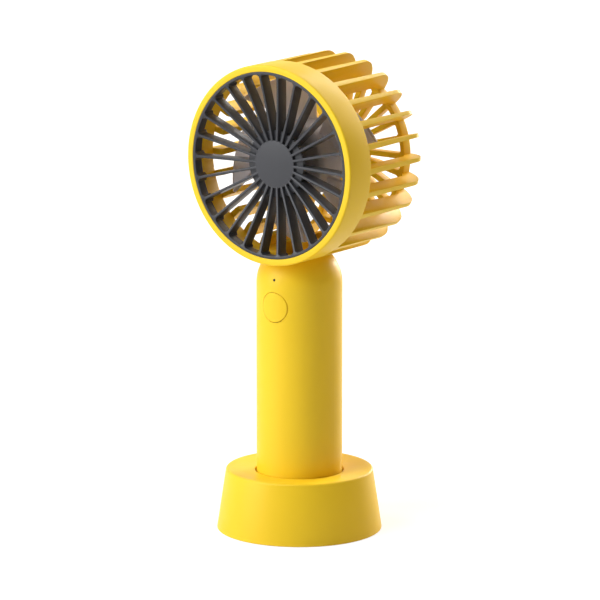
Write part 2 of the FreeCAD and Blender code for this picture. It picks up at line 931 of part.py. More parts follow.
def cage_fins():
    """All fins. The two above the handle stand on the saddle."""
    step = block((saddle_radius - fin_gap, band_radius + 1), (band_back - 1, saddle_end + fin_gap),
                 around(head_axis_height, 2 * fin_root))
    fins = []
    for index in range(fin_count):
        on_saddle = index in (lowest_slot, lowest_slot + 1)
        fins.append(round_head(fin().cut(step) if on_saddle else fin(), index * pitch))
    return Part.makeCompound(fins)


def curved_wall(corners, first_fin, last_fin):
    """Wall turned from the middle of one fin to the middle of another, without those fins."""
    face = Part.Face(rounded_wire(corners, in_head_section))
    wall = face.revolve(head_centre, Vector(0, -1, 0), (last_fin - first_fin) * pitch)
    wall = round_head(wall, first_fin * pitch)
    return without(wall, [round_head(fin(), index * pitch) for index in (first_fin, last_fin)])


def neck():
    """Round neck below the head that goes down into the handle."""
    stub = rod_z(neck_radius, saddle_bottom - neck_length, head_axis_height, 0, neck_offset)
    return stub.cut(rod_y(band_radius - saddle_skin / 2, band_front, shell_back, head_axis_height))


def head_saddle():
    """Wall above the handle with the neck, and the channel that covers the motor's lead."""
    saddle = curved_wall([
        (saddle_radius, band_back, 0),
        (band_radius, band_back, 0),
        (band_radius, saddle_end, 0),
        (saddle_radius, saddle_end, 0),
    ], lowest_slot - 1, lowest_slot + 2)
    foot = ring_outer + 2 * fin_gap
    channel = curved_wall([
        (saddle_radius, saddle_end - 1, 0),
        (band_radius, saddle_end - 1, 0),
        (band_radius, shell_back, fin_corner),
        (foot, shell_back, 0),
        (foot, shell_back - saddle_skin, 0),
        (saddle_radius, shell_back - saddle_skin, fin_corner - saddle_skin),
    ], lowest_slot, lowest_slot + 1)
    bore_top = saddle_bottom + 2 * saddle_skin
    bore = rod_z(lead_bore_radius, saddle_bottom - neck_length - 1, bore_top, 0, neck_offset)
    return fused([saddle, channel, neck()]).cut(bore)


def back_window():
    """Opening between two spokes, with its outer corners rounded."""
    half = math.radians(pitch / 2)
    inner = hub_radius + hub_flange
    corners = []
    for radius, side, rounding in (
            (inner, -1, 0), (ring_inner, -1, spoke_corner), (ring_inner, 1, spoke_corner), (inner, 1, 0)):
        along = radius * math.cos(half)
        across = radius * math.sin(half) - spoke_width / 2 * math.cos(half)
        corners.append((along, side * across, rounding))
    wire = rounded_wire(corners, lambda a, b: Vector(a, spoke_front - 1, head_axis_height + b))
    return Part.Face(wire).extrude(Vector(0, spoke_depth + 2, 0))


def back_spokes():
    """Back ring and its spokes, with no window where the lead passes."""
    disc = head_tube(ring_inner + weld, hub_radius + contact_gap, spoke_front, spoke_back)
    window = back_window()
    open_slots = [index for index in range(fin_count) if index != lowest_slot]
    disc = without(disc, [round_head(window, (index + 0.5) * pitch) for index in open_slots])
    ring = head_tube(ring_outer, ring_inner, ring_front, shell_back)
    groove = block(around(0, lead_notch), (ring_front - 1, spoke_front + lead_notch - lead_slack),
                   (head_axis_height - ring_outer - 1, head_axis_height - hub_radius))
    return fused([ring, disc]).cut(groove)


def at_motor_screws(radius, start, end):
    rod = rod_y(radius, start, end, head_axis_height, motor_screw_circle)
    return spread_round_head(rod, motor_screw_count, 90)


def motor_post():
    """Hollow post, flared out to the spokes, that carries the motor in front of them."""
    bore = bearing_radius + bearing_room
    post = turned_head([
        (bore, motor_seat, 0),
        (post_radius, motor_seat, 0),
        (post_radius, spoke_front - hub_flare, 0),
        (hub_radius, spoke_front, 0),
        (hub_radius, spoke_back, 0),
        (post_bore, spoke_back, 0),
        (post_bore, motor_seat + post_seat, 0),
        (bore, motor_seat + post_seat, 0),
    ])
    groove = block(around(0, lead_notch),
                   (spoke_front - lead_bend - 1, spoke_front + lead_notch - lead_slack),
                   (head_axis_height - hub_radius - 1, head_axis_height - post_bore + groove_reach))
    seat_hole = rod_y(lead_radius + lead_gap, motor_seat - 1, motor_seat + post_seat + 1, inner_lead_height())
    pilots = at_motor_screws(small_screw_shank + contact_gap, motor_seat - 1, motor_seat + post_seat + 1)
    return without(post, [groove, seat_hole] + pilots)


def neck_nut():
    """Ring nut that holds the neck from inside the handle."""
    top = saddle_bottom - saddle_gap - handle_wall - contact_gap
    bottom = top - nut_length
    outer = neck_radius + nut_wall
    ring = rod_z(outer, bottom, top).cut(rod_z(neck_radius + contact_gap, bottom, top))
    grip = block((outer - nut_grip_depth, outer + 1), around(0, nut_grip_width),
                 (bottom, top - nut_flange))
    return without(ring, spread_round_stem(grip, nut_grips)).translated(Vector(0, neck_offset, 0))


def back_cap():
    """Low domed cap that closes the motor post from behind."""
    spigot = post_bore - contact_gap
    rim = hub_radius - back_cap_inset
    edge = spoke_back + back_cap_edge
    crown = edge + back_cap_crown
    sphere = (rim ** 2 + back_cap_crown ** 2) / (2 * back_cap_crown)
    half_way = crown - sphere + math.sqrt(sphere ** 2 - (rim / 2) ** 2)
    bow = Part.Arc(in_head_section(0, crown), in_head_section(rim / 2, half_way),
                   in_head_section(rim, edge)).toShape()
    corners = [in_head_section(radius, y) for radius, y in (
        (rim, edge),
        (rim, spoke_back),
        (spigot, spoke_back),
        (spigot, spoke_back - back_cap_spigot),
        (spigot - back_cap_wall, spoke_back - back_cap_spigot),
        (spigot - back_cap_wall, spoke_back),
        (0, spoke_back),
        (0, crown),
    )]
    lines = [Part.LineSegment(start, end).toShape() for start, end in zip(corners, corners[1:])]
    cap = Part.Face(Part.Wire([bow] + lines)).revolve(head_centre, Vector(0, -1, 0), 360)
    notch = block(around(0, lead_notch), (spoke_back - back_cap_spigot - 1, spoke_back),
                  (head_axis_height - post_radius, head_axis_height - spigot + back_cap_wall + 1))
    return cap.cut(notch)


# Front grille

def grille_rib_blade():
    """Dished rib of even depth that widens where it runs into the rim."""
    edge = grille_radius - grille_rim
    rim = grille_radius - grille_rim / 2
    inner = disc_radius - disc_overlap
    seat = seat_radius - grille_seat_gap
    half = grille_rib / 2
    middle = ((rim + inner) / 2, (band_front + disc_front) / 2 + grille_bow)
    front = [(rim, band_front), middle, (inner, disc_front)]
    back = [(inner, disc_front), middle, (seat, band_front)]
    front = [in_head_section(radius, y) for radius, y in front]
    back = [in_head_section(radius, y + grille_rib_depth) for radius, y in back]
    step = [back[-1], in_head_section(seat, grille_back), in_head_section(rim, grille_back), front[0]]
    lines = [Part.LineSegment(start, end).toShape() for start, end in zip(step, step[1:])]
    side_view = Part.Face(Part.Wire([
        Part.Arc(*front).toShape(),
        Part.LineSegment(front[-1], back[0]).toShape(),
        Part.Arc(*back).toShape(),
    ] + lines))
    side_view.translate(Vector(0, 0, -2 * grille_corner))
    front_view = Part.Face(rounded_wire([
        (inner, -half, 0),
        (edge, -half, grille_corner),
        (edge, -half - grille_corner, 0),
        (rim, -half - grille_corner, 0),
        (rim, half + grille_corner, 0),
        (edge, half + grille_corner, 0),
        (edge, half, grille_corner),
        (inner, half, 0),
    ], lambda along, across: Vector(along, band_front - 1, head_axis_height + across)))
    return side_view.extrude(Vector(0, 0, 4 * grille_corner)).common(
        front_view.extrude(Vector(0, disc_set_back + grille_rib_depth + 2, 0)))


def front_grille():
    rim = head_tube(grille_radius, grille_radius - grille_rim, band_front, grille_back)
    disc = turned_head([
        (0, disc_front, 0),
        (disc_radius - disc_chamfer, disc_front, 0),
        (disc_radius, disc_front + disc_chamfer, 0),
        (disc_radius, disc_back, 0),
        (flange_radius, disc_back, 0),
        (flange_radius, disc_back + flange_thickness, 0),
        (0, disc_back + flange_thickness, 0),
    ])
    return fused([rim, disc] + spread_round_head(grille_rib_blade(), fin_count))


# Impeller and rotor

def polar(radius, angle, y):
    turn = math.radians(angle)
    return Vector(radius * math.cos(turn), y, head_axis_height + radius * math.sin(turn))


def smooth_curve(points):
    curve = Part.BSplineCurve()
    curve.interpolate(points)
    return curve.toShape()


def blade_sheet():
    """Thick twisted sheet, wider than the blade, lofted through flat cuts across its middle line."""
    span = blade_tip_radius - impeller_hub_radius
    sections = []
    for place in blade_cuts:
        distance = impeller_hub_radius + place * span
        sides = []
        for side in (-1, 1):
            points = []
            for angle in blade_cut_angles:
                offset = -distance * math.tan(math.radians(angle))
                radius = math.hypot(distance, offset)
                share = (radius - impeller_hub_radius) / span
                travel = blade_lead_root + share * (blade_lead_tip - blade_lead_root)
                half = blade_thickness / 2 * math.hypot(1, travel / radius)
                y = blade_middle - travel * math.atan2(offset, distance) + side * half
                points.append(Vector(distance, y, head_axis_height + offset))
            sides.append(points)
        low, high = sides
        sections.append(Part.Wire([
            smooth_curve(low),
            Part.LineSegment(low[-1], high[-1]).toShape(),
            smooth_curve(high),
            Part.LineSegment(high[0], low[0]).toShape(),
        ]))
    return round_head(Part.makeLoft(sections, True, False), blade_middle_angle)


def blade_outline():
    """Front view of one blade, drawn out along the axis."""
    start = impeller_front - impeller_hub_length
    edges = []
    span = blade_tip_radius - impeller_hub_radius
    for points in (leading_edge, trailing_edge):
        edges.append(smooth_curve([polar(impeller_hub_radius + share * span, angle, start)
                                   for share, angle in points]))
    for end in (0, -1):
        radius = impeller_hub_radius + leading_edge[end][0] * span
        first = leading_edge[end][1]
        last = trailing_edge[end][1]
        arc = Part.Arc(polar(radius, first, start), polar(radius, (first + last) / 2, start),
                       polar(radius, last, start))
        edges.append(arc.toShape())
    face = Part.Face(Part.Wire(Part.__sortEdges__(edges)))
    return face.extrude(Vector(0, 3 * impeller_hub_length, 0))


def impeller():
    wall = impeller_hub_wall
    inside = impeller_hub_radius - wall
    bore = shaft_radius + contact_gap
    skin = impeller_front + hub_skin
    hub = turned_head([
        (0, impeller_front, 0),
        (impeller_hub_radius, impeller_front, impeller_hub_round),
        (impeller_hub_radius, impeller_back, 0),
        (inside, impeller_back, 0),
        (inside, impeller_front + impeller_hub_round, 0),
        (inside - impeller_hub_round + wall, impeller_front + wall, 0),
        (boss_radius, impeller_front + wall, 0),
        (boss_radius, boss_end, 0),
        (bore, boss_end, 0),
        (bore, skin, 0),
        (0, skin, 0),
    ])
    reach = (impeller_front - impeller_hub_length, impeller_back + impeller_hub_length)
    ring = head_tube(blade_tip_radius, impeller_hub_radius - wall / 2, *reach)
    blade = blade_sheet().common(blade_outline()).common(ring)
    return fused([hub] + spread_round_head(blade, blade_count))


def rotor_can():
    front = impeller_front + impeller_hub_wall + contact_gap
    back = impeller_back - can_set_back
    corner = impeller_hub_round - impeller_hub_wall
    bore = boss_radius + contact_gap
    return turned_head([
        (bore, front, 0),
        (can_radius - corner, front, 0),
        (can_radius, front + corner, 0),
        (can_radius, back, 0),
        (can_radius - can_wall, back, 0),
        (can_radius - can_wall, front + can_wall, 0),
        (bore, front + can_wall, 0),
    ])


def rotor_magnet():
    back = impeller_back - can_set_back - magnet_inset
    return head_tube(magnet_radius, magnet_bore, back - magnet_length, back)


def motor_shaft():
    start = impeller_front + hub_skin + contact_gap
    return rod_y(shaft_radius, start, motor_seat + shaft_tail, head_axis_height)


def shaft_collar():
    start = motor_seat + collar_gap
    return head_tube(collar_radius, shaft_radius + contact_gap, start, start + collar_thickness)


# Stator

def motor_base():
    """Flanged bearing tube screwed to the post."""
    bore = bearing_radius + contact_gap
    shoulder = bearing_radius - bearing_shoulder
    body = turned_head([
        (bore, tube_front, 0),
        (tube_radius, tube_front, 0),
        (tube_radius, motor_flange_front, 0),
        (motor_flange_radius, motor_flange_front, 0),
        (motor_flange_radius, motor_seat, 0),
        (bore, motor_seat, 0),
        (bore, motor_seat - bearing_width, 0),
        (shoulder, motor_seat - bearing_width, 0),
        (shoulder, tube_front + bearing_width, 0),
        (bore, tube_front + bearing_width, 0),
    ])
    return without(body, at_motor_screws(small_screw_shank + hole_gap, motor_flange_front, motor_seat))


def motor_screws():
    one = small_screw(motor_screw_circle, motor_flange_front, head_axis_height, 0)
    return Part.makeCompound(spread_round_head(one, motor_screw_count, 90))


def bearing(start):
    return head_tube(bearing_radius, shaft_radius + running_gap, start, start + bearing_width)


def front_bearing():
    return bearing(tube_front)


def rear_bearing():
    return bearing(motor_seat - bearing_width)


def stator_core():
    """Laminated core: a sleeve on the bearing tube with T shaped poles."""
    sleeve_radius = tube_radius + core_sleeve
    sleeve = head_tube(sleeve_radius, tube_radius + contact_gap, core_front, core_back)
    shoes = head_tube(stator_radius, stator_radius - pole_shoe, core_front, core_back)
    gap = block((stator_radius - 2 * pole_shoe, stator_radius + 1), (core_front, core_back),
                around(head_axis_height, pole_gap))
    pole = block((sleeve_radius - weld, stator_radius - 0.5 * pole_shoe), (core_front, core_back),
                 around(head_axis_height, pole_width))
    shoes = without(shoes, spread_round_head(gap, pole_count, 180.0 / pole_count))
    return fused([sleeve, shoes] + spread_round_head(pole, pole_count))


def stator_coils():
    """One rounded winding round each pole."""
    half = pole_width / 2 + winding
    start = tube_radius + core_sleeve + hole_gap
    end = math.sqrt((stator_radius - pole_shoe - contact_gap) ** 2 - half ** 2)
    outline = rounded_wire([
        (-half, core_front - winding, winding_round),
        (half, core_front - winding, winding_round),
        (half, core_back + winding, winding_round),
        (-half, core_back + winding, winding_round),
    ], lambda side, y: Vector(start, y, head_axis_height + side))
    coil = Part.Face(outline).extrude(Vector(end - start, 0, 0))
    core = block((start, end), (core_front - contact_gap, core_back + contact_gap),
                 around(head_axis_height, pole_width + 2 * contact_gap))
    return Part.makeCompound(spread_round_head(coil.cut(core), pole_count))


def motor_board():
    """Ring shaped board in front of the motor's flange."""
    start = motor_flange_front - motor_board_thickness
    board = head_tube(stator_radius, tube_radius + contact_gap, start, motor_flange_front)
    return without(board, at_motor_screws(small_screw_head + 2 * hole_gap, start, motor_flange_front))


# Motor lead

def inner_lead_height():
    """Height of the lead inside the post, beside the motor's flange."""
    return head_axis_height - motor_flange_radius - lead_radius - lead_slack


def motor_lead():
    """Lead up the neck, along the lowest slot, in through the back and on to the motor."""
    outer = head_axis_height - fin_inner_radius - lead_depth
    behind = spoke_front + lead_radius + lead_slack
    connector_y = board_back + lead_set_back
    return lead([
        Vector(0, connector_y, connector_top + contact_gap),
        Vector(0, connector_y, connector_top + lead_rise),
        Vector(0, neck_offset, saddle_bottom - neck_length - lead_drop),
        Vector(0, neck_offset, outer),
        Vector(0, behind, outer),
        Vector(0, behind, inner_lead_height()),
        Vector(0, motor_flange_front + contact_gap, inner_lead_height()),
    ])


sub_parts = (
    base_shell, base_plate, foot_ring, base_screws,
    handle_shell, end_cap, end_cap_screws,
    inner_frame, battery_cell, battery_tabs, battery_leads,
    charge_board, charge_socket, socket_tongue,
    control_board, board_screws, board_parts,
    switch_body, switch_plunger, button_cap, light_pipe, indicator_lamp,
    head_band, cage_fins, head_saddle, back_spokes, motor_post,
    neck_nut, back_cap, front_grille,
    impeller, rotor_can, rotor_magnet, motor_shaft, shaft_collar,
    motor_base, motor_screws, front_bearing, rear_bearing,
    stator_core, stator_coils, motor_board, motor_lead,
)

os.makedirs("parts", exist_ok=True)
for sub_part in sub_parts:
    sub_part().exportStep("parts/" + sub_part.__name__ + ".step")
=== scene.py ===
import bpy
import bmesh
import math
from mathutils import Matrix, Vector


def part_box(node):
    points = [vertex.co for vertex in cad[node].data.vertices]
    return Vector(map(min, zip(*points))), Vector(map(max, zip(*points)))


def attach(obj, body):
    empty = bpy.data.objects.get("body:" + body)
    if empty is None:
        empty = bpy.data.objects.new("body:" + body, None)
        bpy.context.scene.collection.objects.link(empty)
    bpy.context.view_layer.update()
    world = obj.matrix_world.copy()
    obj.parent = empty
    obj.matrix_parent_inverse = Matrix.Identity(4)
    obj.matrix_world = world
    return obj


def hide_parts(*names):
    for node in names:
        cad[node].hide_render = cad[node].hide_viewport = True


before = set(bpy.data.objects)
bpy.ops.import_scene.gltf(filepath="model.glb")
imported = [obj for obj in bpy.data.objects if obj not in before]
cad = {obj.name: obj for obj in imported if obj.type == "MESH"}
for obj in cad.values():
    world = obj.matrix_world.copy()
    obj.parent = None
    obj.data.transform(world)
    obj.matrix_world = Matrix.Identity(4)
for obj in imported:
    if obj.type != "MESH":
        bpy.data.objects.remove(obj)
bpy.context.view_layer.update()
mm = 0.001
grilleLow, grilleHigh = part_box("front_grille")
bandLow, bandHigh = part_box("head_band")
axisHeight = (grilleLow.z + grilleHigh.z) / 2
bandRadius = (bandHigh.x - bandLow.x) / 2
bandFront = bandLow.y
bandBack = bandHigh.y
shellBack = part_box("cage_fins")[1].y
print("frame loaded,", len(cad), "nodes")


# camera

cameraSettings = {"azimuth": 36.35, "elevation": 12.0, "distance": 2.232, "aimHeight": 0.10726,
                  "aimRight": 0.00027, "lens": 291.96}


def placeCamera():
    turn = math.radians(cameraSettings["azimuth"])
    lift = math.radians(cameraSettings["elevation"])
    back = Vector((math.sin(turn) * math.cos(lift), -math.cos(turn) * math.cos(lift), math.sin(lift)))
    right = Vector((math.cos(turn), math.sin(turn), 0))
    aim = Vector((0, 0, cameraSettings["aimHeight"])) + right * cameraSettings["aimRight"]
    data = bpy.data.cameras.new("camera")
    data.sensor_width = 36.0
    data.lens = cameraSettings["lens"]
    data.clip_start = 0.1
    data.clip_end = 20.0
    camera = bpy.data.objects.new("camera", data)
    camera.location = aim + back * cameraSettings["distance"]
    camera.rotation_mode = "QUATERNION"
    camera.rotation_quaternion = (-back).to_track_quat("-Z", "Y")
    bpy.context.scene.collection.objects.link(camera)
    bpy.context.scene.camera = camera


placeCamera()
print("camera placed")


# light, floor and background

# azimuth runs from the front towards the right, both angles in degrees
lightSettings = {
    "key": {"azimuth": -14, "elevation": 45, "size": 1.1, "power": 19.5},
    "low": {"azimuth": -36, "elevation": 15, "size": 1.4, "power": 30.0},
    "top": {"azimuth": -14, "elevation": 70, "size": 1.1, "power": 13.0},
    "left": {"azimuth": -74, "elevation": 45, "size": 1.1, "power": 14.0},
    "right": {"azimuth": 146, "elevation": 40, "size": 1.1, "power": 13.0, "colour": (1.0, 0.74, 0.50)},
    "rim": {"azimuth": 181, "elevation": 12, "size": 1.1, "power": 46.0, "colour": (1.0, 0.88, 0.74)},
    "back": {"azimuth": 188, "elevation": 37, "size": 0.8, "power": 12.0},
}
lampDistance = 2.4
lampAimHeight = 0.12
worldLevel = 0.02
floorSettings = {"reach": 6.0, "paper": 0.45, "glow": 0.72, "bounce": 0.8}


def addNode(tree, kind, **values):
    node = tree.nodes.new(kind)
    for key, value in values.items():
        setattr(node, key, value)
    return node


def cameraShare(tree):
    # 1 where the ray came straight from the camera, a mirror or glass
    path = addNode(tree, "ShaderNodeLightPath")
    first = addNode(tree, "ShaderNodeMath", operation="MAXIMUM")
    second = addNode(tree, "ShaderNodeMath", operation="MAXIMUM")
    tree.links.new(path.outputs["Is Camera Ray"], first.inputs[0])
    tree.links.new(path.outputs["Is Glossy Ray"], first.inputs[1])
    tree.links.new(first.outputs[0], second.inputs[0])
    tree.links.new(path.outputs["Is Transmission Ray"], second.inputs[1])
    return second.outputs[0]


def lightStudio():
    aim = Vector((0, 0, lampAimHeight))
    for name, values in lightSettings.items():
        turn = math.radians(values["azimuth"])
        lift = math.radians(values["elevation"])
        away = Vector((math.sin(turn) * math.cos(lift), -math.cos(turn) * math.cos(lift), math.sin(lift)))
        data = bpy.data.lights.new(name + "Light", "AREA")
        data.shape = "DISK"
        data.size = values["size"]
        data.energy = values["power"]
        data.color = values.get("colour", (1.0, 1.0, 1.0))
        lamp = bpy.data.objects.new(name + "Light", data)
        lamp.location = aim + away * lampDistance
        lamp.rotation_euler = (-away).to_track_quat("-Z", "Y").to_euler()
        bpy.context.scene.collection.objects.link(lamp)
    world = bpy.data.worlds.new("studio")
    bpy.context.scene.world = world
    world.use_nodes = True
    tree = world.node_tree
    tree.nodes.clear()
    output = addNode(tree, "ShaderNodeOutputWorld")
    mix = addNode(tree, "ShaderNodeMixShader")
    room = addNode(tree, "ShaderNodeBackground")
    room.inputs["Strength"].default_value = worldLevel
    white = addNode(tree, "ShaderNodeBackground")
    white.inputs["Color"].default_value = (1, 1, 1, 1)
    tree.links.new(cameraShare(tree), mix.inputs[0])
    tree.links.new(room.outputs[0], mix.inputs[1])
    tree.links.new(white.outputs[0], mix.inputs[2])
    tree.links.new(mix.outputs[0], output.inputs[0])


def layFloor():
    mesh = bpy.data.meshes.new("floor")
    reach = floorSettings["reach"]
    corners = [(-reach, -reach, 0), (reach, -reach, 0), (reach, reach, 0), (-reach, reach, 0)]
    mesh.from_pydata(corners, [], [(0, 1, 2, 3)])
    floor = bpy.data.objects.new("floor", mesh)
    bpy.context.scene.collection.objects.link(floor)
    material = bpy.data.materials.new("paleFloor")
    material.use_nodes = True
    tree = material.node_tree
    tree.nodes.clear()
    output = addNode(tree, "ShaderNodeOutputMaterial")
    paper = addNode(tree, "ShaderNodeBsdfDiffuse")
    paper.inputs["Color"].default_value = (*[floorSettings["paper"]] * 3, 1)
    glow = addNode(tree, "ShaderNodeEmission")
    glow.inputs["Strength"].default_value = floorSettings["glow"]
    shown = addNode(tree, "ShaderNodeAddShader")
    plain = addNode(tree, "ShaderNodeBsdfDiffuse")
    plain.inputs["Color"].default_value = (*[floorSettings["bounce"]] * 3, 1)
    mix = addNode(tree, "ShaderNodeMixShader")
    tree.links.new(paper.outputs[0], shown.inputs[0])
    tree.links.new(glow.outputs[0], shown.inputs[1])
    tree.links.new(cameraShare(tree), mix.inputs[0])
    tree.links.new(plain.outputs[0], mix.inputs[1])
    tree.links.new(shown.outputs[0], mix.inputs[2])
    tree.links.new(mix.outputs[0], output.inputs[0])
    mesh.materials.append(material)


lightStudio()
layFloor()
bpy.context.scene.view_settings.view_transform = "Standard"
print("studio lit")


# materials

def newMaterial(name):
    material = bpy.data.materials.new(name)
    material.use_nodes = True
    tree = material.node_tree
    tree.nodes.clear()
    output = addNode(tree, "ShaderNodeOutputMaterial")
    shader = addNode(tree, "ShaderNodeBsdfPrincipled")
    tree.links.new(shader.outputs[0], output.inputs[0])
    place = addNode(tree, "ShaderNodeTexCoord").outputs["Object"]
    return material, tree, shader, place


def noise(tree, place, scale, detail=3.0, roughness=0.5):
    node = addNode(tree, "ShaderNodeTexNoise")
    node.inputs["Scale"].default_value = scale
    node.inputs["Detail"].default_value = detail
    node.inputs["Roughness"].default_value = roughness
    tree.links.new(place, node.inputs["Vector"])
    return node.outputs["Fac"]


def spread(tree, value, low, high):
    node = addNode(tree, "ShaderNodeMapRange")
    node.inputs["From Min"].default_value = 0.3
    node.inputs["From Max"].default_value = 0.7
    node.inputs["To Min"].default_value = low
    node.inputs["To Max"].default_value = high
    tree.links.new(value, node.inputs["Value"])
    return node.outputs[0]


def blendColours(tree, value, first, second):
    node = addNode(tree, "ShaderNodeMix", data_type="RGBA")
    node.inputs[6].default_value = (*first, 1)
    node.inputs[7].default_value = (*second, 1)
    tree.links.new(value, node.inputs[0])
    return node.outputs[2]


def bump(tree, shader, height, depth, strength=1.0):
    node = addNode(tree, "ShaderNodeBump")
    node.inputs["Distance"].default_value = depth
    node.inputs["Strength"].default_value = strength
    tree.links.new(height, node.inputs["Height"])
    tree.links.new(node.outputs[0], shader.inputs["Normal"])
    return node


def mouldedPlastic(name, values):
    # spark textured moulding: soft colour drift, fine grain, uneven gloss
    material, tree, shader, place = newMaterial(name)
    drift = spread(tree, noise(tree, place, 18.0), 0.0, 1.0)
    colour = blendColours(tree, drift, values["colour"], values["second"])
    tree.links.new(colour, shader.inputs["Base Color"])
    low, high = values["roughness"]
    tree.links.new(spread(tree, noise(tree, place, 160.0, 4.0), low, high), shader.inputs["Roughness"])
    grain = noise(tree, place, values.get("grainScale", 2600.0), 2.0, 0.6)
    bump(tree, shader, grain, values.get("grainDepth", 0.00002), values.get("grainStrength", 0.35))
    shader.inputs["IOR"].default_value = 1.46
    shader.inputs["Specular IOR Level"].default_value = values.get("specular", 0.5)
    if "soften" in values:
        shader.inputs["Subsurface Weight"].default_value = values["soften"]
        shader.inputs["Subsurface Radius"].default_value = (1.0, 0.8, 0.3)
        shader.inputs["Subsurface Scale"].default_value = 0.002
    return material


def frostedPlastic(name, values):
    material, tree, shader, place = newMaterial(name)
    drift = spread(tree, noise(tree, place, 45.0), 0.0, 1.0)
    colour = blendColours(tree, drift, values["colour"], values["second"])
    tree.links.new(colour, shader.inputs["Base Color"])
    low, high = values.get("roughness", (0.26, 0.34))
    tree.links.new(spread(tree, noise(tree, place, 220.0), low, high), shader.inputs["Roughness"])
    bump(tree, shader, noise(tree, place, 3000.0, 2.0), 0.00002, values.get("grainStrength", 0.4))
    shader.inputs["Transmission Weight"].default_value = values["clear"]
    shader.inputs["IOR"].default_value = 1.3
    return material


def turnedMetal(name, values):
    # fine lines left by the tool, with a faint cloud of tarnish
    material, tree, shader, place = newMaterial(name)
    cloud = spread(tree, noise(tree, place, 120.0), 0.0, 1.0)
    colour = blendColours(tree, cloud, values["colour"], values["second"])
    tree.links.new(colour, shader.inputs["Base Color"])
    shader.inputs["Metallic"].default_value = 1.0
    low, high = values["roughness"]
    tree.links.new(spread(tree, noise(tree, place, 700.0), low, high), shader.inputs["Roughness"])
    wave = addNode(tree, "ShaderNodeTexWave", wave_type="BANDS", bands_direction=values.get("lines", "Z"))
    wave.inputs["Scale"].default_value = 900.0
    wave.inputs["Distortion"].default_value = 1.5
    tree.links.new(place, wave.inputs["Vector"])
    bump(tree, shader, wave.outputs["Fac"], 0.00001, 0.25)
    return material


def circuitBoard(name):
    # green resist over a faint weave of glass cloth
    material, tree, shader, place = newMaterial(name)
    weave = addNode(tree, "ShaderNodeTexChecker")
    weave.inputs["Scale"].default_value = 900.0
    weave.inputs["Color1"].default_value = (0.012, 0.105, 0.045, 1)
    weave.inputs["Color2"].default_value = (0.010, 0.085, 0.038, 1)
    tree.links.new(place, weave.inputs["Vector"])
    tree.links.new(weave.outputs["Color"], shader.inputs["Base Color"])
    tree.links.new(spread(tree, noise(tree, place, 200.0), 0.25, 0.4), shader.inputs["Roughness"])
    bump(tree, shader, weave.outputs["Fac"], 0.00001, 0.3)
    return material


def woundCopper(name):
    material, tree, shader, place = newMaterial(name)
    wave = addNode(tree, "ShaderNodeTexWave", wave_type="RINGS", rings_direction="Y")
    wave.inputs["Scale"].default_value = 800.0
    tree.links.new(place, wave.inputs["Vector"])
    colour = blendColours(tree, wave.outputs["Fac"], (0.42, 0.12, 0.04), (0.66, 0.26, 0.10))
    tree.links.new(colour, shader.inputs["Base Color"])
    shader.inputs["Metallic"].default_value = 0.85
    tree.links.new(spread(tree, noise(tree, place, 400.0), 0.28, 0.42), shader.inputs["Roughness"])
    bump(tree, shader, wave.outputs["Fac"], 0.00005, 0.6)
    return material


finishes = {
    "yellow": {"colour": (0.95, 0.645, 0.022), "second": (0.91, 0.615, 0.019), "roughness": (0.40, 0.48),
               "soften": 0.03, "specular": 0.3},
    "grilleGrey": {"colour": (0.055, 0.057, 0.065), "second": (0.049, 0.051, 0.058),
                   "roughness": (0.31, 0.34), "grainScale": 2200.0, "grainDepth": 0.00001,
                   "grainStrength": 0.2, "specular": 0.3},
    "frosted": {"colour": (0.56, 0.55, 0.60), "second": (0.53, 0.52, 0.57), "clear": 0.5,
                "roughness": (0.46, 0.52), "grainStrength": 0.15},
    "black": {"colour": (0.022, 0.022, 0.023), "second": (0.030, 0.030, 0.031), "roughness": (0.4, 0.55)},
    "frameGrey": {"colour": (0.09, 0.09, 0.095), "second": (0.075, 0.075, 0.08), "roughness": (0.45, 0.6)},
    "rubber": {"colour": (0.020, 0.020, 0.020), "second": (0.028, 0.028, 0.027), "roughness": (0.7, 0.85),
               "grainScale": 1500.0, "grainDepth": 0.00005, "specular": 0.3},
    "cellWrap": {"colour": (0.03, 0.09, 0.26), "second": (0.025, 0.08, 0.23), "roughness": (0.22, 0.3)},
    "leadSkin": {"colour": (0.035, 0.035, 0.037), "second": (0.045, 0.045, 0.046),
                 "roughness": (0.5, 0.62)},
    "clear": {"colour": (0.7, 0.7, 0.68), "second": (0.66, 0.66, 0.64), "clear": 0.7},
    # light pipe: tinted plastic, made near-black so its colour also paints the shade inside the pinhole
    "pipeTintAndPaintedShade": {"colour": (0.012, 0.011, 0.010), "second": (0.009, 0.008, 0.008), "clear": 0.1},
    "steel": {"colour": (0.50, 0.50, 0.51), "second": (0.43, 0.43, 0.44), "roughness": (0.24, 0.36)},
    "brass": {"colour": (0.66, 0.45, 0.16), "second": (0.58, 0.39, 0.14), "roughness": (0.24, 0.36),
              "lines": "Y"},
}
yellow = mouldedPlastic("yellowPlastic", finishes["yellow"])
grilleGrey = mouldedPlastic("grilleGrey", finishes["grilleGrey"])
frosted = frostedPlastic("frostedPlastic", finishes["frosted"])
black = mouldedPlastic("blackPlastic", finishes["black"])
frameGrey = mouldedPlastic("framePlastic", finishes["frameGrey"])
rubber = mouldedPlastic("footRubber", finishes["rubber"])
cellWrap = mouldedPlastic("cellWrap", finishes["cellWrap"])
leadSkin = mouldedPlastic("leadSkin", finishes["leadSkin"])
clear = frostedPlastic("clearPlastic", finishes["clear"])
pipeTintAndPaintedShade = frostedPlastic("pipeTintPaintedShadePlastic", finishes["pipeTintAndPaintedShade"])
steel = turnedMetal("platedSteel", finishes["steel"])
brass = turnedMetal("turnedBrass", finishes["brass"])
board = circuitBoard("circuitBoard")
copper = woundCopper("woundCopper")

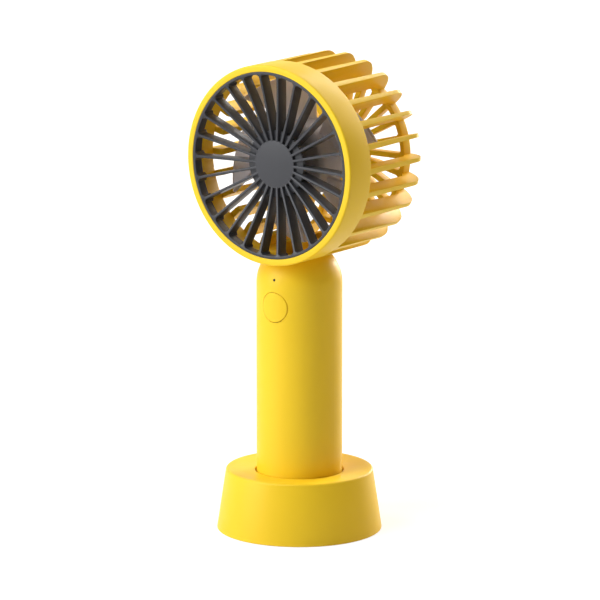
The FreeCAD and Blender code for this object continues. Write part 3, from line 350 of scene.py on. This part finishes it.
cadFinish = {
    yellow: ["base_shell", "handle_shell", "end_cap", "button_cap", "back_cap"],
    rubber: ["foot_ring"],
    frameGrey: ["inner_frame", "neck_nut", "base_plate"],
    steel: ["base_screws", "end_cap_screws", "battery_tabs", "charge_socket", "board_screws", "rotor_can",
            "motor_shaft", "motor_screws", "front_bearing", "rear_bearing", "stator_core"],
    cellWrap: ["battery_cell"],
    leadSkin: ["battery_leads", "motor_lead"],
    board: ["charge_board", "control_board", "motor_board"],
    black: ["socket_tongue", "board_parts", "switch_body", "switch_plunger", "shaft_collar",
            "rotor_magnet"],
    clear: ["indicator_lamp"],
    pipeTintAndPaintedShade: ["light_pipe"],
    brass: ["motor_base"],
    copper: ["stator_coils"],
}
for material, names in cadFinish.items():
    for name in names:
        slots = cad[name].material_slots
        if not slots:
            cad[name].data.materials.append(material)
        for slot in slots:
            slot.material = material
print("materials made")

# shape helpers

def roundedOutline(corners, steps=5):
    # corners are (a, b, radius); every corner with a radius becomes an arc
    points = []
    for index, (a, b, radius) in enumerate(corners):
        here = Vector((a, b, 0))
        if radius == 0:
            points.append(here)
            continue
        back = (Vector((*corners[index - 1][:2], 0)) - here).normalized()
        ahead = (Vector((*corners[(index + 1) % len(corners)][:2], 0)) - here).normalized()
        half = back.angle(ahead) / 2
        centre = here + (back + ahead).normalized() * (radius / math.sin(half))
        first = (here + back * (radius / math.tan(half)) - centre).normalized()
        last = (here + ahead * (radius / math.tan(half)) - centre).normalized()
        points += [centre + first.slerp(last, step / steps) * radius for step in range(steps + 1)]
    return [(point.x, point.y) for point in points]


def onHead(radius, along, angle=0.0):
    return Vector((radius * math.cos(angle), along, radius * math.sin(angle) + axisHeight / mm)) * mm


def onElement(radius, along, across):
    # one copy, drawn on the head's axis before it is turned into place
    return Vector((radius, along, across)) * mm


def onStem(radius, height, angle=0.0):
    return Vector((radius * math.cos(angle), radius * math.sin(angle), height)) * mm


def spin(bm, outline, place, steps=168, first=0.0, turn=360.0):
    whole = turn >= 360.0
    count = steps if whole else steps + 1
    rings = []
    for step in range(count):
        angle = math.radians(first + turn * step / steps)
        rings.append([bm.verts.new(place(a, b, angle)) for a, b in outline])
    for step in range(steps):
        here, following = rings[step], rings[(step + 1) % count]
        for index in range(len(outline)):
            after = (index + 1) % len(outline)
            bm.faces.new((here[index], here[after], following[after], following[index]))
    if not whole:
        bm.faces.new(rings[0])
        bm.faces.new(rings[-1][::-1])


def plate(bm, outline, half, softness):
    # flat plate from an outline of (radius, along), with a half thickness for each place along
    sides = []
    for side in (1, -1):
        sides.append([bm.verts.new(onElement(a, b, side * half(b))) for a, b in outline])
    top = bm.faces.new(sides[0])
    bottom = bm.faces.new(sides[1][::-1])
    for index in range(len(outline)):
        after = (index + 1) % len(outline)
        bm.faces.new((sides[1][index], sides[1][after], sides[0][after], sides[0][index]))
    edges = list(set(top.edges) | set(bottom.edges))
    bmesh.ops.bevel(bm, geom=edges, offset=softness * mm, segments=3, profile=0.5, affect="EDGES",
                    clamp_overlap=True)


def bar(bm, stations, softness):
    # bar along a radius; a station is (radius, half width, front, back) and its long edges are rounded
    rings = []
    for radius, half, front, back in stations:
        soft = min(softness, 0.9 * half)
        corners = [(-half, front, soft), (half, front, soft), (half, back, soft), (-half, back, soft)]
        section = roundedOutline(corners, 3)
        rings.append([bm.verts.new(onElement(radius, along, across)) for across, along in section])
    for here, following in zip(rings, rings[1:]):
        for index in range(len(here)):
            after = (index + 1) % len(here)
            bm.faces.new((here[index], here[after], following[after], following[index]))
    bm.faces.new(rings[0])
    bm.faces.new(rings[-1][::-1])


sharpAngle = math.radians(32.0)


def meshPiece(bm, name):
    bmesh.ops.remove_doubles(bm, verts=bm.verts, dist=1e-7)
    bmesh.ops.dissolve_degenerate(bm, edges=bm.edges, dist=1e-8)
    wires = [edge for edge in bm.edges if not edge.link_faces]
    bmesh.ops.delete(bm, geom=wires, context="EDGES")
    bmesh.ops.recalc_face_normals(bm, faces=bm.faces)
    for face in bm.faces:
        face.smooth = True
    for edge in bm.edges:
        edge.smooth = len(edge.link_faces) == 2 and edge.calc_face_angle(0.0) < sharpAngle
    mesh = bpy.data.meshes.new(name)
    bm.to_mesh(mesh)
    bm.free()
    piece = bpy.data.objects.new(name, mesh)
    bpy.context.scene.collection.objects.link(piece)
    return piece


def joinPieces(name, parts, material):
    bm = bmesh.new()
    for part in parts:
        bm.from_mesh(part.data)
        bpy.data.objects.remove(part)
    mesh = bpy.data.meshes.new(name)
    for face in bm.faces:
        face.material_index = 0
    bm.to_mesh(mesh)
    bm.free()
    mesh.materials.append(material)
    piece = bpy.data.objects.new(name, mesh)
    bpy.context.scene.collection.objects.link(piece)
    return piece


# geometry nodes

def treeWithInputs(name, inputs):
    tree = bpy.data.node_groups.new(name, "GeometryNodeTree")
    for label, kind in inputs:
        tree.interface.new_socket(name=label, in_out="INPUT", socket_type=kind)
    tree.interface.new_socket(name="Geometry", in_out="OUTPUT", socket_type="NodeSocketGeometry")
    return tree, tree.nodes.new("NodeGroupInput"), tree.nodes.new("NodeGroupOutput")


def calculate(tree, operation, first, second=None):
    node = addNode(tree, "ShaderNodeMath", operation=operation)
    for socket, value in zip(node.inputs, (first, second)):
        if isinstance(value, (int, float)):
            socket.default_value = value
        elif value is not None:
            tree.links.new(value, socket)
    return node.outputs[0]


def combine(tree, x, y, z):
    node = addNode(tree, "ShaderNodeCombineXYZ")
    for socket, value in zip(node.inputs, (x, y, z)):
        if isinstance(value, (int, float)):
            socket.default_value = value
        else:
            tree.links.new(value, socket)
    return node.outputs[0]


def copiesRoundAxis(tree, given, element):
    # instances of the element, evenly turned about the head's axis
    points = addNode(tree, "GeometryNodePoints")
    tree.links.new(given.outputs["Count"], points.inputs["Count"])
    tree.links.new(combine(tree, 0.0, 0.0, given.outputs["Axis Height"]), points.inputs["Position"])
    step = calculate(tree, "DIVIDE", -2 * math.pi, given.outputs["Count"])
    index = addNode(tree, "GeometryNodeInputIndex").outputs[0]
    turn = calculate(tree, "MULTIPLY", index, step)
    start = calculate(tree, "MULTIPLY", given.outputs["First Angle"], -math.pi / 180)
    euler = addNode(tree, "FunctionNodeEulerToRotation")
    tree.links.new(combine(tree, 0.0, calculate(tree, "ADD", turn, start), 0.0), euler.inputs[0])
    copies = addNode(tree, "GeometryNodeInstanceOnPoints")
    tree.links.new(points.outputs[0], copies.inputs["Points"])
    tree.links.new(element, copies.inputs["Instance"])
    tree.links.new(euler.outputs[0], copies.inputs["Rotation"])
    return copies.outputs[0]


def endTree(tree, given, result, geometry):
    real = addNode(tree, "GeometryNodeRealizeInstances")
    coat = addNode(tree, "GeometryNodeSetMaterial")
    tree.links.new(geometry, real.inputs[0])
    tree.links.new(real.outputs[0], coat.inputs["Geometry"])
    tree.links.new(given.outputs["Material"], coat.inputs["Material"])
    tree.links.new(coat.outputs[0], result.inputs[0])


def radialTree():
    tree, given, result = treeWithInputs("radialCopies", [
        ("Geometry", "NodeSocketGeometry"), ("Count", "NodeSocketInt"), ("First Angle", "NodeSocketFloat"),
        ("Axis Height", "NodeSocketFloat"), ("Material", "NodeSocketMaterial")])
    endTree(tree, given, result, copiesRoundAxis(tree, given, given.outputs["Geometry"]))
    return tree


def growNodes(source, tree, values, extra=None):
    # runs the tree on the source and keeps the outcome as a plain mesh
    modifier = source.modifiers.new("nodes", "NODES")
    modifier.node_group = tree
    for item in tree.interface.items_tree:
        if item.in_out == "INPUT" and item.name in values:
            modifier[item.identifier] = values[item.name]
    if extra:
        extra(source)
    bpy.context.view_layer.update()
    grown = source.evaluated_get(bpy.context.evaluated_depsgraph_get())
    mesh = bpy.data.meshes.new_from_object(grown)
    source.modifiers.clear()
    source.data = mesh
    return source


radialCopies = radialTree()


def roundHead(element, count, material):
    return growNodes(element, radialCopies, {
        "Count": count, "First Angle": 0.0, "Axis Height": axisHeight, "Material": material})


# desk base

baseValues = {
    "foot": 38.15, "footHeight": 0.1, "footRound": 0.45, "rim": 33.85, "rimHeight": 28.5, "rimRound": 1.15,
    "lipHeight": 27.7, "lipSoft": 0.3, "wellGap": 0.7, "wellFloor": 6.5, "wall": 2.2, "wellWall": 2.0,
    "bosses": 3, "bossRadius": 3.2, "bossHole": 1.05, "bossCircle": 26.9, "bossFoot": 2.9,
    "dishSteps": 12, "dishCurve": 1.6, "crestFlat": 1.0, "cornerRound": 0.8,
}


def buildBase():
    v = baseValues
    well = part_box("handle_shell")[1].x / mm + v["wellGap"]
    lip = well + v["lipSoft"]
    crest = v["rim"] - v["rimRound"]
    roof = v["lipHeight"] - v["wall"]
    dish = []
    for step in range(1, v["dishSteps"] + 1):
        share = step / v["dishSteps"]
        radius = lip + (crest - v["crestFlat"] - lip) * share
        rise = (v["rimHeight"] - v["lipHeight"]) * share ** v["dishCurve"]
        dish.append((radius, v["lipHeight"] + rise, 0))
    bm = bmesh.new()
    spin(bm, roundedOutline([
        (0, v["wellFloor"], 0),
        (well, v["wellFloor"], 0.5),
        (well, v["lipHeight"], v["lipSoft"]),
        *dish,
        (v["rim"], v["rimHeight"], v["rimRound"]),
        (v["foot"], v["footHeight"], v["footRound"]),
        (v["foot"] - v["wall"], v["footHeight"], 0.3),
        (v["rim"] - v["wall"] + 0.5, roof, v["cornerRound"]),
        (well + v["wellWall"], roof, v["cornerRound"]),
        (well + v["wellWall"], v["wellFloor"] - v["wellWall"], 0.6),
        (0, v["wellFloor"] - v["wellWall"], 0),
    ], 6), onStem, 168)
    for number in range(v["bosses"]):
        centre = onStem(v["bossCircle"], 0, math.radians(90 + 360 * number / v["bosses"]))
        spin(bm, [
            (v["bossHole"], v["bossFoot"]),
            (v["bossRadius"], v["bossFoot"]),
            (v["bossRadius"], roof + 0.2),
            (v["bossHole"], roof + 0.2),
        ], lambda radius, height, angle: onStem(radius, height, angle) + centre, 36)
    piece = meshPiece(bm, "deskBase")
    piece.data.materials.append(yellow)
    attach(piece, "base")
    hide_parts("base_shell")


buildBase()
print("desk base built")


# light pipe in the pinhole

pipeValues = {"sink": 0.25, "edge": 0.12}


def buildLightPipe():
    # the hole is narrow, so the pipe comes up nearly flush with the handle
    v = pipeValues
    low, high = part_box("light_pipe")
    radius = (high.x - low.x) / 2 / mm
    height = (low.z + high.z) / 2
    front = v["sink"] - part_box("handle_shell")[1].x / mm
    back = high.y / mm
    bm = bmesh.new()
    spin(bm, roundedOutline([
        (0, front, 0),
        (radius, front, v["edge"]),
        (radius, back, v["edge"]),
        (0, back, 0),
    ]), lambda radius, along, angle: onStem(radius, 0, angle).xzy + Vector((0, along * mm, height)), 36)
    piece = meshPiece(bm, "lightRod")
    # near-black finish: the pipe's tint plus painted shade of the pinhole
    piece.data.materials.append(pipeTintAndPaintedShade)
    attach(piece, "fan")
    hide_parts("light_pipe")


buildLightPipe()
print("light pipe built")


# head shell

shellValues = {
    "fins": 26, "finDepth": 7.6, "finRoot": 2.75, "finTip": 1.7, "finCorner": 8.8, "finSoftness": 0.4,
    "rimWidth": 3.15, "bandWall": 2.7, "seatWall": 4.0, "seatDepth": 5.42, "edge": 0.75,
    "ringInset": 2.0, "ringWidth": 2.4, "ringLength": 5.4, "spokeRoot": 2.2, "spokeTip": 2.7,
    "spokeDepth": 2.6, "spokeReach": 1.8, "spokeLean": 1.3, "spokeCorner": 1.5, "spokeSteps": 32,
    "spokeSetBack": 0.3, "spokeSoftness": 0.35, "hubRadius": 15.5, "postRadius": 13.0, "leadHole": 3.4,
    "postFront": 14.0, "skin": 2.0, "saddleLength": 28.6, "neckRadius": 8.5, "neckOffset": 3.0,
    "neckLength": 7.8,
}


def filletFlare(radius, edge, corner):
    # how much wider a bar gets as it runs into a ring that starts at the edge
    inside = corner - (edge - radius)
    if inside <= 0:
        return 0.0
    inside = min(inside, corner)
    return corner - math.sqrt(corner * corner - inside * inside)


def buildHeadShell():
    v = shellValues
    outer = bandRadius / mm
    front = bandFront / mm
    rear = shellBack / mm
    bandEnd = bandBack / mm
    finInner = outer - v["finDepth"]
    ringOuter = finInner - v["ringInset"]
    ringInner = ringOuter - v["ringWidth"]
    ringFront = rear - v["ringLength"]
    pitch = 360.0 / v["fins"]
    lowest = round(v["fins"] * 0.75 - 0.5)
    parts = []

    band = bmesh.new()
    seat = front + v["seatDepth"]
    spin(band, roundedOutline([
        (outer - v["rimWidth"] + 0.06, front, 0.25),
        (outer, front, v["edge"]),
        (outer, bandEnd, 0.3),
        (outer - v["bandWall"], bandEnd, 0.3),
        (outer - v["seatWall"], seat + 1.4, 0),
        (outer - v["seatWall"], seat, 0.2),
        (outer - v["rimWidth"] + 0.06, seat, 0),
    ]), onHead, 208)
    spin(band, roundedOutline([
        (ringInner, ringFront, 0.4),
        (ringOuter, ringFront, 0.5),
        (ringOuter, rear, 0.6),
        (ringInner, rear, 0.6),
    ]), onHead, 208)
    spokeFront = ringFront + v["spokeSetBack"]
    back = spokeFront + v["spokeDepth"]
    bore = v["postRadius"] - 1.8
    spin(band, roundedOutline([
        (v["leadHole"], v["postFront"], 0),
        (v["postRadius"], v["postFront"], 0.6),
        (v["postRadius"], spokeFront - 2.2, 0.5),
        (v["hubRadius"], spokeFront - v["spokeLean"] + 0.2, 0.6),
        (v["hubRadius"], back, 0.4),
        (bore, back, 0),
        (bore, v["postFront"] + 2.0, 0),
        (v["leadHole"], v["postFront"] + 2.0, 0),
    ]), onHead, 144)
    parts.append(meshPiece(band, "shellRings"))

    fin = bmesh.new()
    taper = (v["finRoot"] - v["finTip"]) / (rear - bandEnd)
    bend = ringFront - 1.6 * v["ringInset"]
    outline = roundedOutline([
        (outer - 0.03, bandEnd - 0.6, 0),
        (outer - 0.03, rear, v["finCorner"]),
        (ringOuter - 0.6, rear, 0.4),
        (ringOuter - 0.6, ringFront + 0.4, 0.3),
        (finInner, bend, 1.5),
        (finInner, bandEnd, 1.2),
        (outer - v["bandWall"] + 0.4, bandEnd, 0.2),
        (outer - v["bandWall"] + 0.4, bandEnd - 0.6, 0),
    ], 9)
    plate(fin, outline, lambda along: (v["finRoot"] - taper * max(along - bandEnd, 0)) / 2,
          v["finSoftness"])
    parts.append(roundHead(meshPiece(fin, "fins"), v["fins"], yellow))

    spoke = bmesh.new()
    stations = []
    start, end = v["hubRadius"] - 1.0, ringInner + 0.5
    for step in range(v["spokeSteps"] + 1):
        radius = start + (end - start) * step / v["spokeSteps"]
        share = (radius - start) / (end - start)
        half = (v["spokeRoot"] + share * (v["spokeTip"] - v["spokeRoot"])) / 2
        half += filletFlare(radius, ringInner, v["spokeCorner"])
        reach = v["spokeReach"] * min(1.0, 4 * share)
        stations.append((radius, half, spokeFront - v["spokeLean"] * (1 - share), back + reach))
    bar(spoke, stations, v["spokeSoftness"])
    parts.append(roundHead(meshPiece(spoke, "spokes"), v["fins"], yellow))

    closed = bmesh.new()
    inner = outer - v["skin"]
    first = (lowest - 1) * pitch
    spin(closed, [
        (inner, bandEnd - 0.4),
        (outer - 0.03, bandEnd - 0.4),
        (outer - 0.03, bandEnd + v["saddleLength"]),
        (inner, bandEnd + v["saddleLength"]),
    ], onHead, 36, first, 3 * pitch)
    spin(closed, roundedOutline([
        (inner, bandEnd - 0.4, 0),
        (outer - 0.03, bandEnd - 0.4, 0),
        (outer - 0.03, rear, v["finCorner"]),
        (ringOuter - 0.4, rear, 0),
        (ringOuter - 0.4, rear - v["skin"], 0),
        (inner, rear - v["skin"], v["finCorner"] - v["skin"]),
    ], 9), onHead, 12, lowest * pitch, pitch)
    spin(closed, [
        (v["hubRadius"] - 0.5, back - 0.7),
        (ringInner + 0.5, back - 0.7),
        (ringInner + 0.5, back - 0.01),
        (v["hubRadius"] - 0.5, back - 0.01),
    ], onHead, 12, lowest * pitch, pitch)
    top = axisHeight / mm - outer + 1.0
    aside = Vector((0, v["neckOffset"] * mm, 0))
    spin(closed, roundedOutline([
        (3.0, top - v["neckLength"] - 1.0, 0.3),
        (v["neckRadius"], top - v["neckLength"] - 1.0, 0.3),
        (v["neckRadius"], top, 0),
        (3.0, top, 0),
    ]), lambda radius, height, angle: onStem(radius, height, angle) + aside, 72)
    parts.append(meshPiece(closed, "closedSlots"))

    piece = joinPieces("headShell", parts, yellow)
    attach(piece, "fan")
    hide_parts("head_band", "cage_fins", "head_saddle", "back_spokes", "motor_post")


buildHeadShell()
print("head shell built")


# front grille

grilleValues = {"rim": 1.35, "depth": 5.4, "ribs": 26, "ribWidth": 1.15, "ribDepth": 6.2, "bow": 0.5,
                "corner": 1.3, "discRadius": 11.0, "discSetBack": 4.7, "discThickness": 1.4,
                "flangeRadius": 15.4, "flangeThickness": 1.3, "softness": 0.22, "seatStep": 1.2,
                "ribSteps": 40}


def buildGrille():
    v = grilleValues
    outer = (grilleHigh.x - grilleLow.x) / 2 / mm
    front = grilleLow.y / mm
    rimInner = outer - v["rim"]
    discFront = front + v["discSetBack"]
    discBack = discFront + v["discThickness"]

    rings = bmesh.new()
    spin(rings, roundedOutline([
        (rimInner, front, 0.35),
        (outer, front, 0.25),
        (outer, front + v["depth"], 0),
        (outer - 0.8 * v["rim"], front + v["depth"], 0.3),
    ]), onHead, 208)
    spin(rings, roundedOutline([
        (0, discFront, 0),
        (v["discRadius"], discFront, 0.35),
        (v["discRadius"], discBack, 0),
        (v["flangeRadius"], discBack, 0.25),
        (v["flangeRadius"], discBack + v["flangeThickness"], 0.3),
        (0, discBack + v["flangeThickness"], 0),
    ]), onHead, 144)
    rings = meshPiece(rings, "grilleRings")

    rib = bmesh.new()
    start, end = v["discRadius"] - 0.6, outer - 0.5
    stations = []
    for step in range(v["ribSteps"] + 1):
        radius = start + (end - start) * step / v["ribSteps"]
        share = (radius - start) / (end - start)
        along = discFront + (front - discFront) * share + v["bow"] * 4 * share * (1 - share)
        half = v["ribWidth"] / 2 + filletFlare(radius, rimInner, v["corner"])
        back = front + v["depth"] if radius > outer - v["seatStep"] else along + v["ribDepth"]
        stations.append((radius, half, along, back))
    bar(rib, stations, v["softness"])
    ribs = roundHead(meshPiece(rib, "grilleRibs"), v["ribs"], grilleGrey)

    piece = joinPieces("frontGrille", [rings, ribs], grilleGrey)
    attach(piece, "fan")
    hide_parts("front_grille")


buildGrille()
print("front grille built")


# impeller

impellerValues = {
    "blades": 5, "tipRadius": 37.9, "hubRadius": 17.5, "hubFront": -6.0, "hubBack": 12.0, "wall": 1.6,
    "hubRound": 2.8, "thickness": 2.0, "middle": 2.7, "middleAngle": 38.0, "leadRoot": 11.5,
    "leadTip": 17.2, "softness": 0.5,
}
leadingEdge = [(17.0, 50.3), (24.6, 54.0), (31.2, 60.5), (37.9, 65.6)]
trailingEdge = [(17.0, 6.4), (21.0, 9.5), (28.1, 12.5), (37.9, 15.1)]


def edgeAngle(tree, share, edge):
    # angle along a blade's edge, in degrees, from the share of the way to the tip
    low, high = min(angle for radius, angle in edge), max(angle for radius, angle in edge)
    curve = addNode(tree, "ShaderNodeFloatCurve")
    first, last = edge[0][0], edge[-1][0]
    spots = [((radius - first) / (last - first), (angle - low) / (high - low)) for radius, angle in edge]
    points = curve.mapping.curves[0].points
    points[0].location = spots[0]
    points[1].location = spots[-1]
    for spot in spots[1:-1]:
        points.new(*spot)
    curve.mapping.update()
    tree.links.new(share, curve.inputs["Value"])
    return calculate(tree, "ADD", calculate(tree, "MULTIPLY", curve.outputs[0], high - low), low)


def bladeTree():
    tree, given, result = treeWithInputs("twistedBlades", [
        ("Geometry", "NodeSocketGeometry"), ("Count", "NodeSocketInt"),
        ("First Angle", "NodeSocketFloat"), ("Axis Height", "NodeSocketFloat"),
        ("Root Radius", "NodeSocketFloat"), ("Tip Radius", "NodeSocketFloat"),
        ("Lead Root", "NodeSocketFloat"), ("Lead Tip", "NodeSocketFloat"),
        ("Middle", "NodeSocketFloat"), ("Middle Angle", "NodeSocketFloat"),
        ("Material", "NodeSocketMaterial")])
    grid = addNode(tree, "GeometryNodeMeshGrid")
    for label, value in (("Size X", 1.0), ("Size Y", 1.0), ("Vertices X", 25), ("Vertices Y", 41)):
        grid.inputs[label].default_value = value
    where = addNode(tree, "ShaderNodeSeparateXYZ")
    tree.links.new(addNode(tree, "GeometryNodeInputPosition").outputs[0], where.inputs[0])
    out = calculate(tree, "ADD", where.outputs[0], 0.5)      # 0 at the hub, 1 at the tip
    sweep = calculate(tree, "ADD", where.outputs[1], 0.5)    # 0 at the trailing edge, 1 at the leading edge
    span = calculate(tree, "SUBTRACT", given.outputs["Tip Radius"], given.outputs["Root Radius"])
    radius = calculate(tree, "ADD", given.outputs["Root Radius"], calculate(tree, "MULTIPLY", span, out))
    leading = edgeAngle(tree, out, leadingEdge)
    trailing = edgeAngle(tree, out, trailingEdge)
    width = calculate(tree, "SUBTRACT", leading, trailing)
    degrees = calculate(tree, "ADD", trailing, calculate(tree, "MULTIPLY", width, sweep))
    angle = calculate(tree, "RADIANS", degrees)
    past = calculate(tree, "SUBTRACT", angle, calculate(tree, "RADIANS", given.outputs["Middle Angle"]))
    grow = calculate(tree, "SUBTRACT", given.outputs["Lead Tip"], given.outputs["Lead Root"])
    travel = calculate(tree, "ADD", given.outputs["Lead Root"], calculate(tree, "MULTIPLY", grow, out))
    along = calculate(tree, "SUBTRACT", given.outputs["Middle"], calculate(tree, "MULTIPLY", travel, past))
    x = calculate(tree, "MULTIPLY", radius, calculate(tree, "COSINE", angle))
    z = calculate(tree, "MULTIPLY", radius, calculate(tree, "SINE", angle))
    move = addNode(tree, "GeometryNodeSetPosition")
    tree.links.new(grid.outputs[0], move.inputs["Geometry"])
    tree.links.new(combine(tree, x, along, z), move.inputs["Position"])
    endTree(tree, given, result, copiesRoundAxis(tree, given, move.outputs[0]))
    return tree


def buildImpeller():
    v = impellerValues

    def thicken(source):
        wall = source.modifiers.new("wall", "SOLIDIFY")
        wall.thickness = v["thickness"] * mm
        wall.offset = 0.0
        wall.use_even_offset = True
        soft = source.modifiers.new("soft", "BEVEL")
        soft.width = v["softness"] * mm
        soft.segments = 3
        soft.limit_method = "ANGLE"
        soft.angle_limit = math.radians(50)

    source = meshPiece(bmesh.new(), "blades")
    blades = growNodes(source, bladeTree(), {
        "Count": v["blades"], "First Angle": 0.0, "Axis Height": axisHeight,
        "Root Radius": (v["hubRadius"] - 0.5) * mm, "Tip Radius": v["tipRadius"] * mm,
        "Lead Root": v["leadRoot"] * mm, "Lead Tip": v["leadTip"] * mm, "Middle": v["middle"] * mm,
        "Middle Angle": v["middleAngle"], "Material": frosted}, thicken)
    bm = bmesh.new()
    bm.from_mesh(blades.data)
    bpy.data.objects.remove(blades)
    blades = meshPiece(bm, "blades")

    hub = bmesh.new()
    inside = v["hubRadius"] - v["wall"]
    spin(hub, roundedOutline([
        (0, v["hubFront"], 0),
        (v["hubRadius"], v["hubFront"], v["hubRound"]),
        (v["hubRadius"], v["hubBack"], 0.3),
        (inside, v["hubBack"], 0.3),
        (inside, v["hubFront"] + v["wall"], v["hubRound"] - v["wall"]),
        (0, v["hubFront"] + v["wall"], 0),
    ]), onHead, 144)
    hub = meshPiece(hub, "impellerHub")
    piece = joinPieces("bladeWheel", [blades, hub], frosted)
    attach(piece, "rotor")
    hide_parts("impeller")


buildImpeller()
print("impeller built")
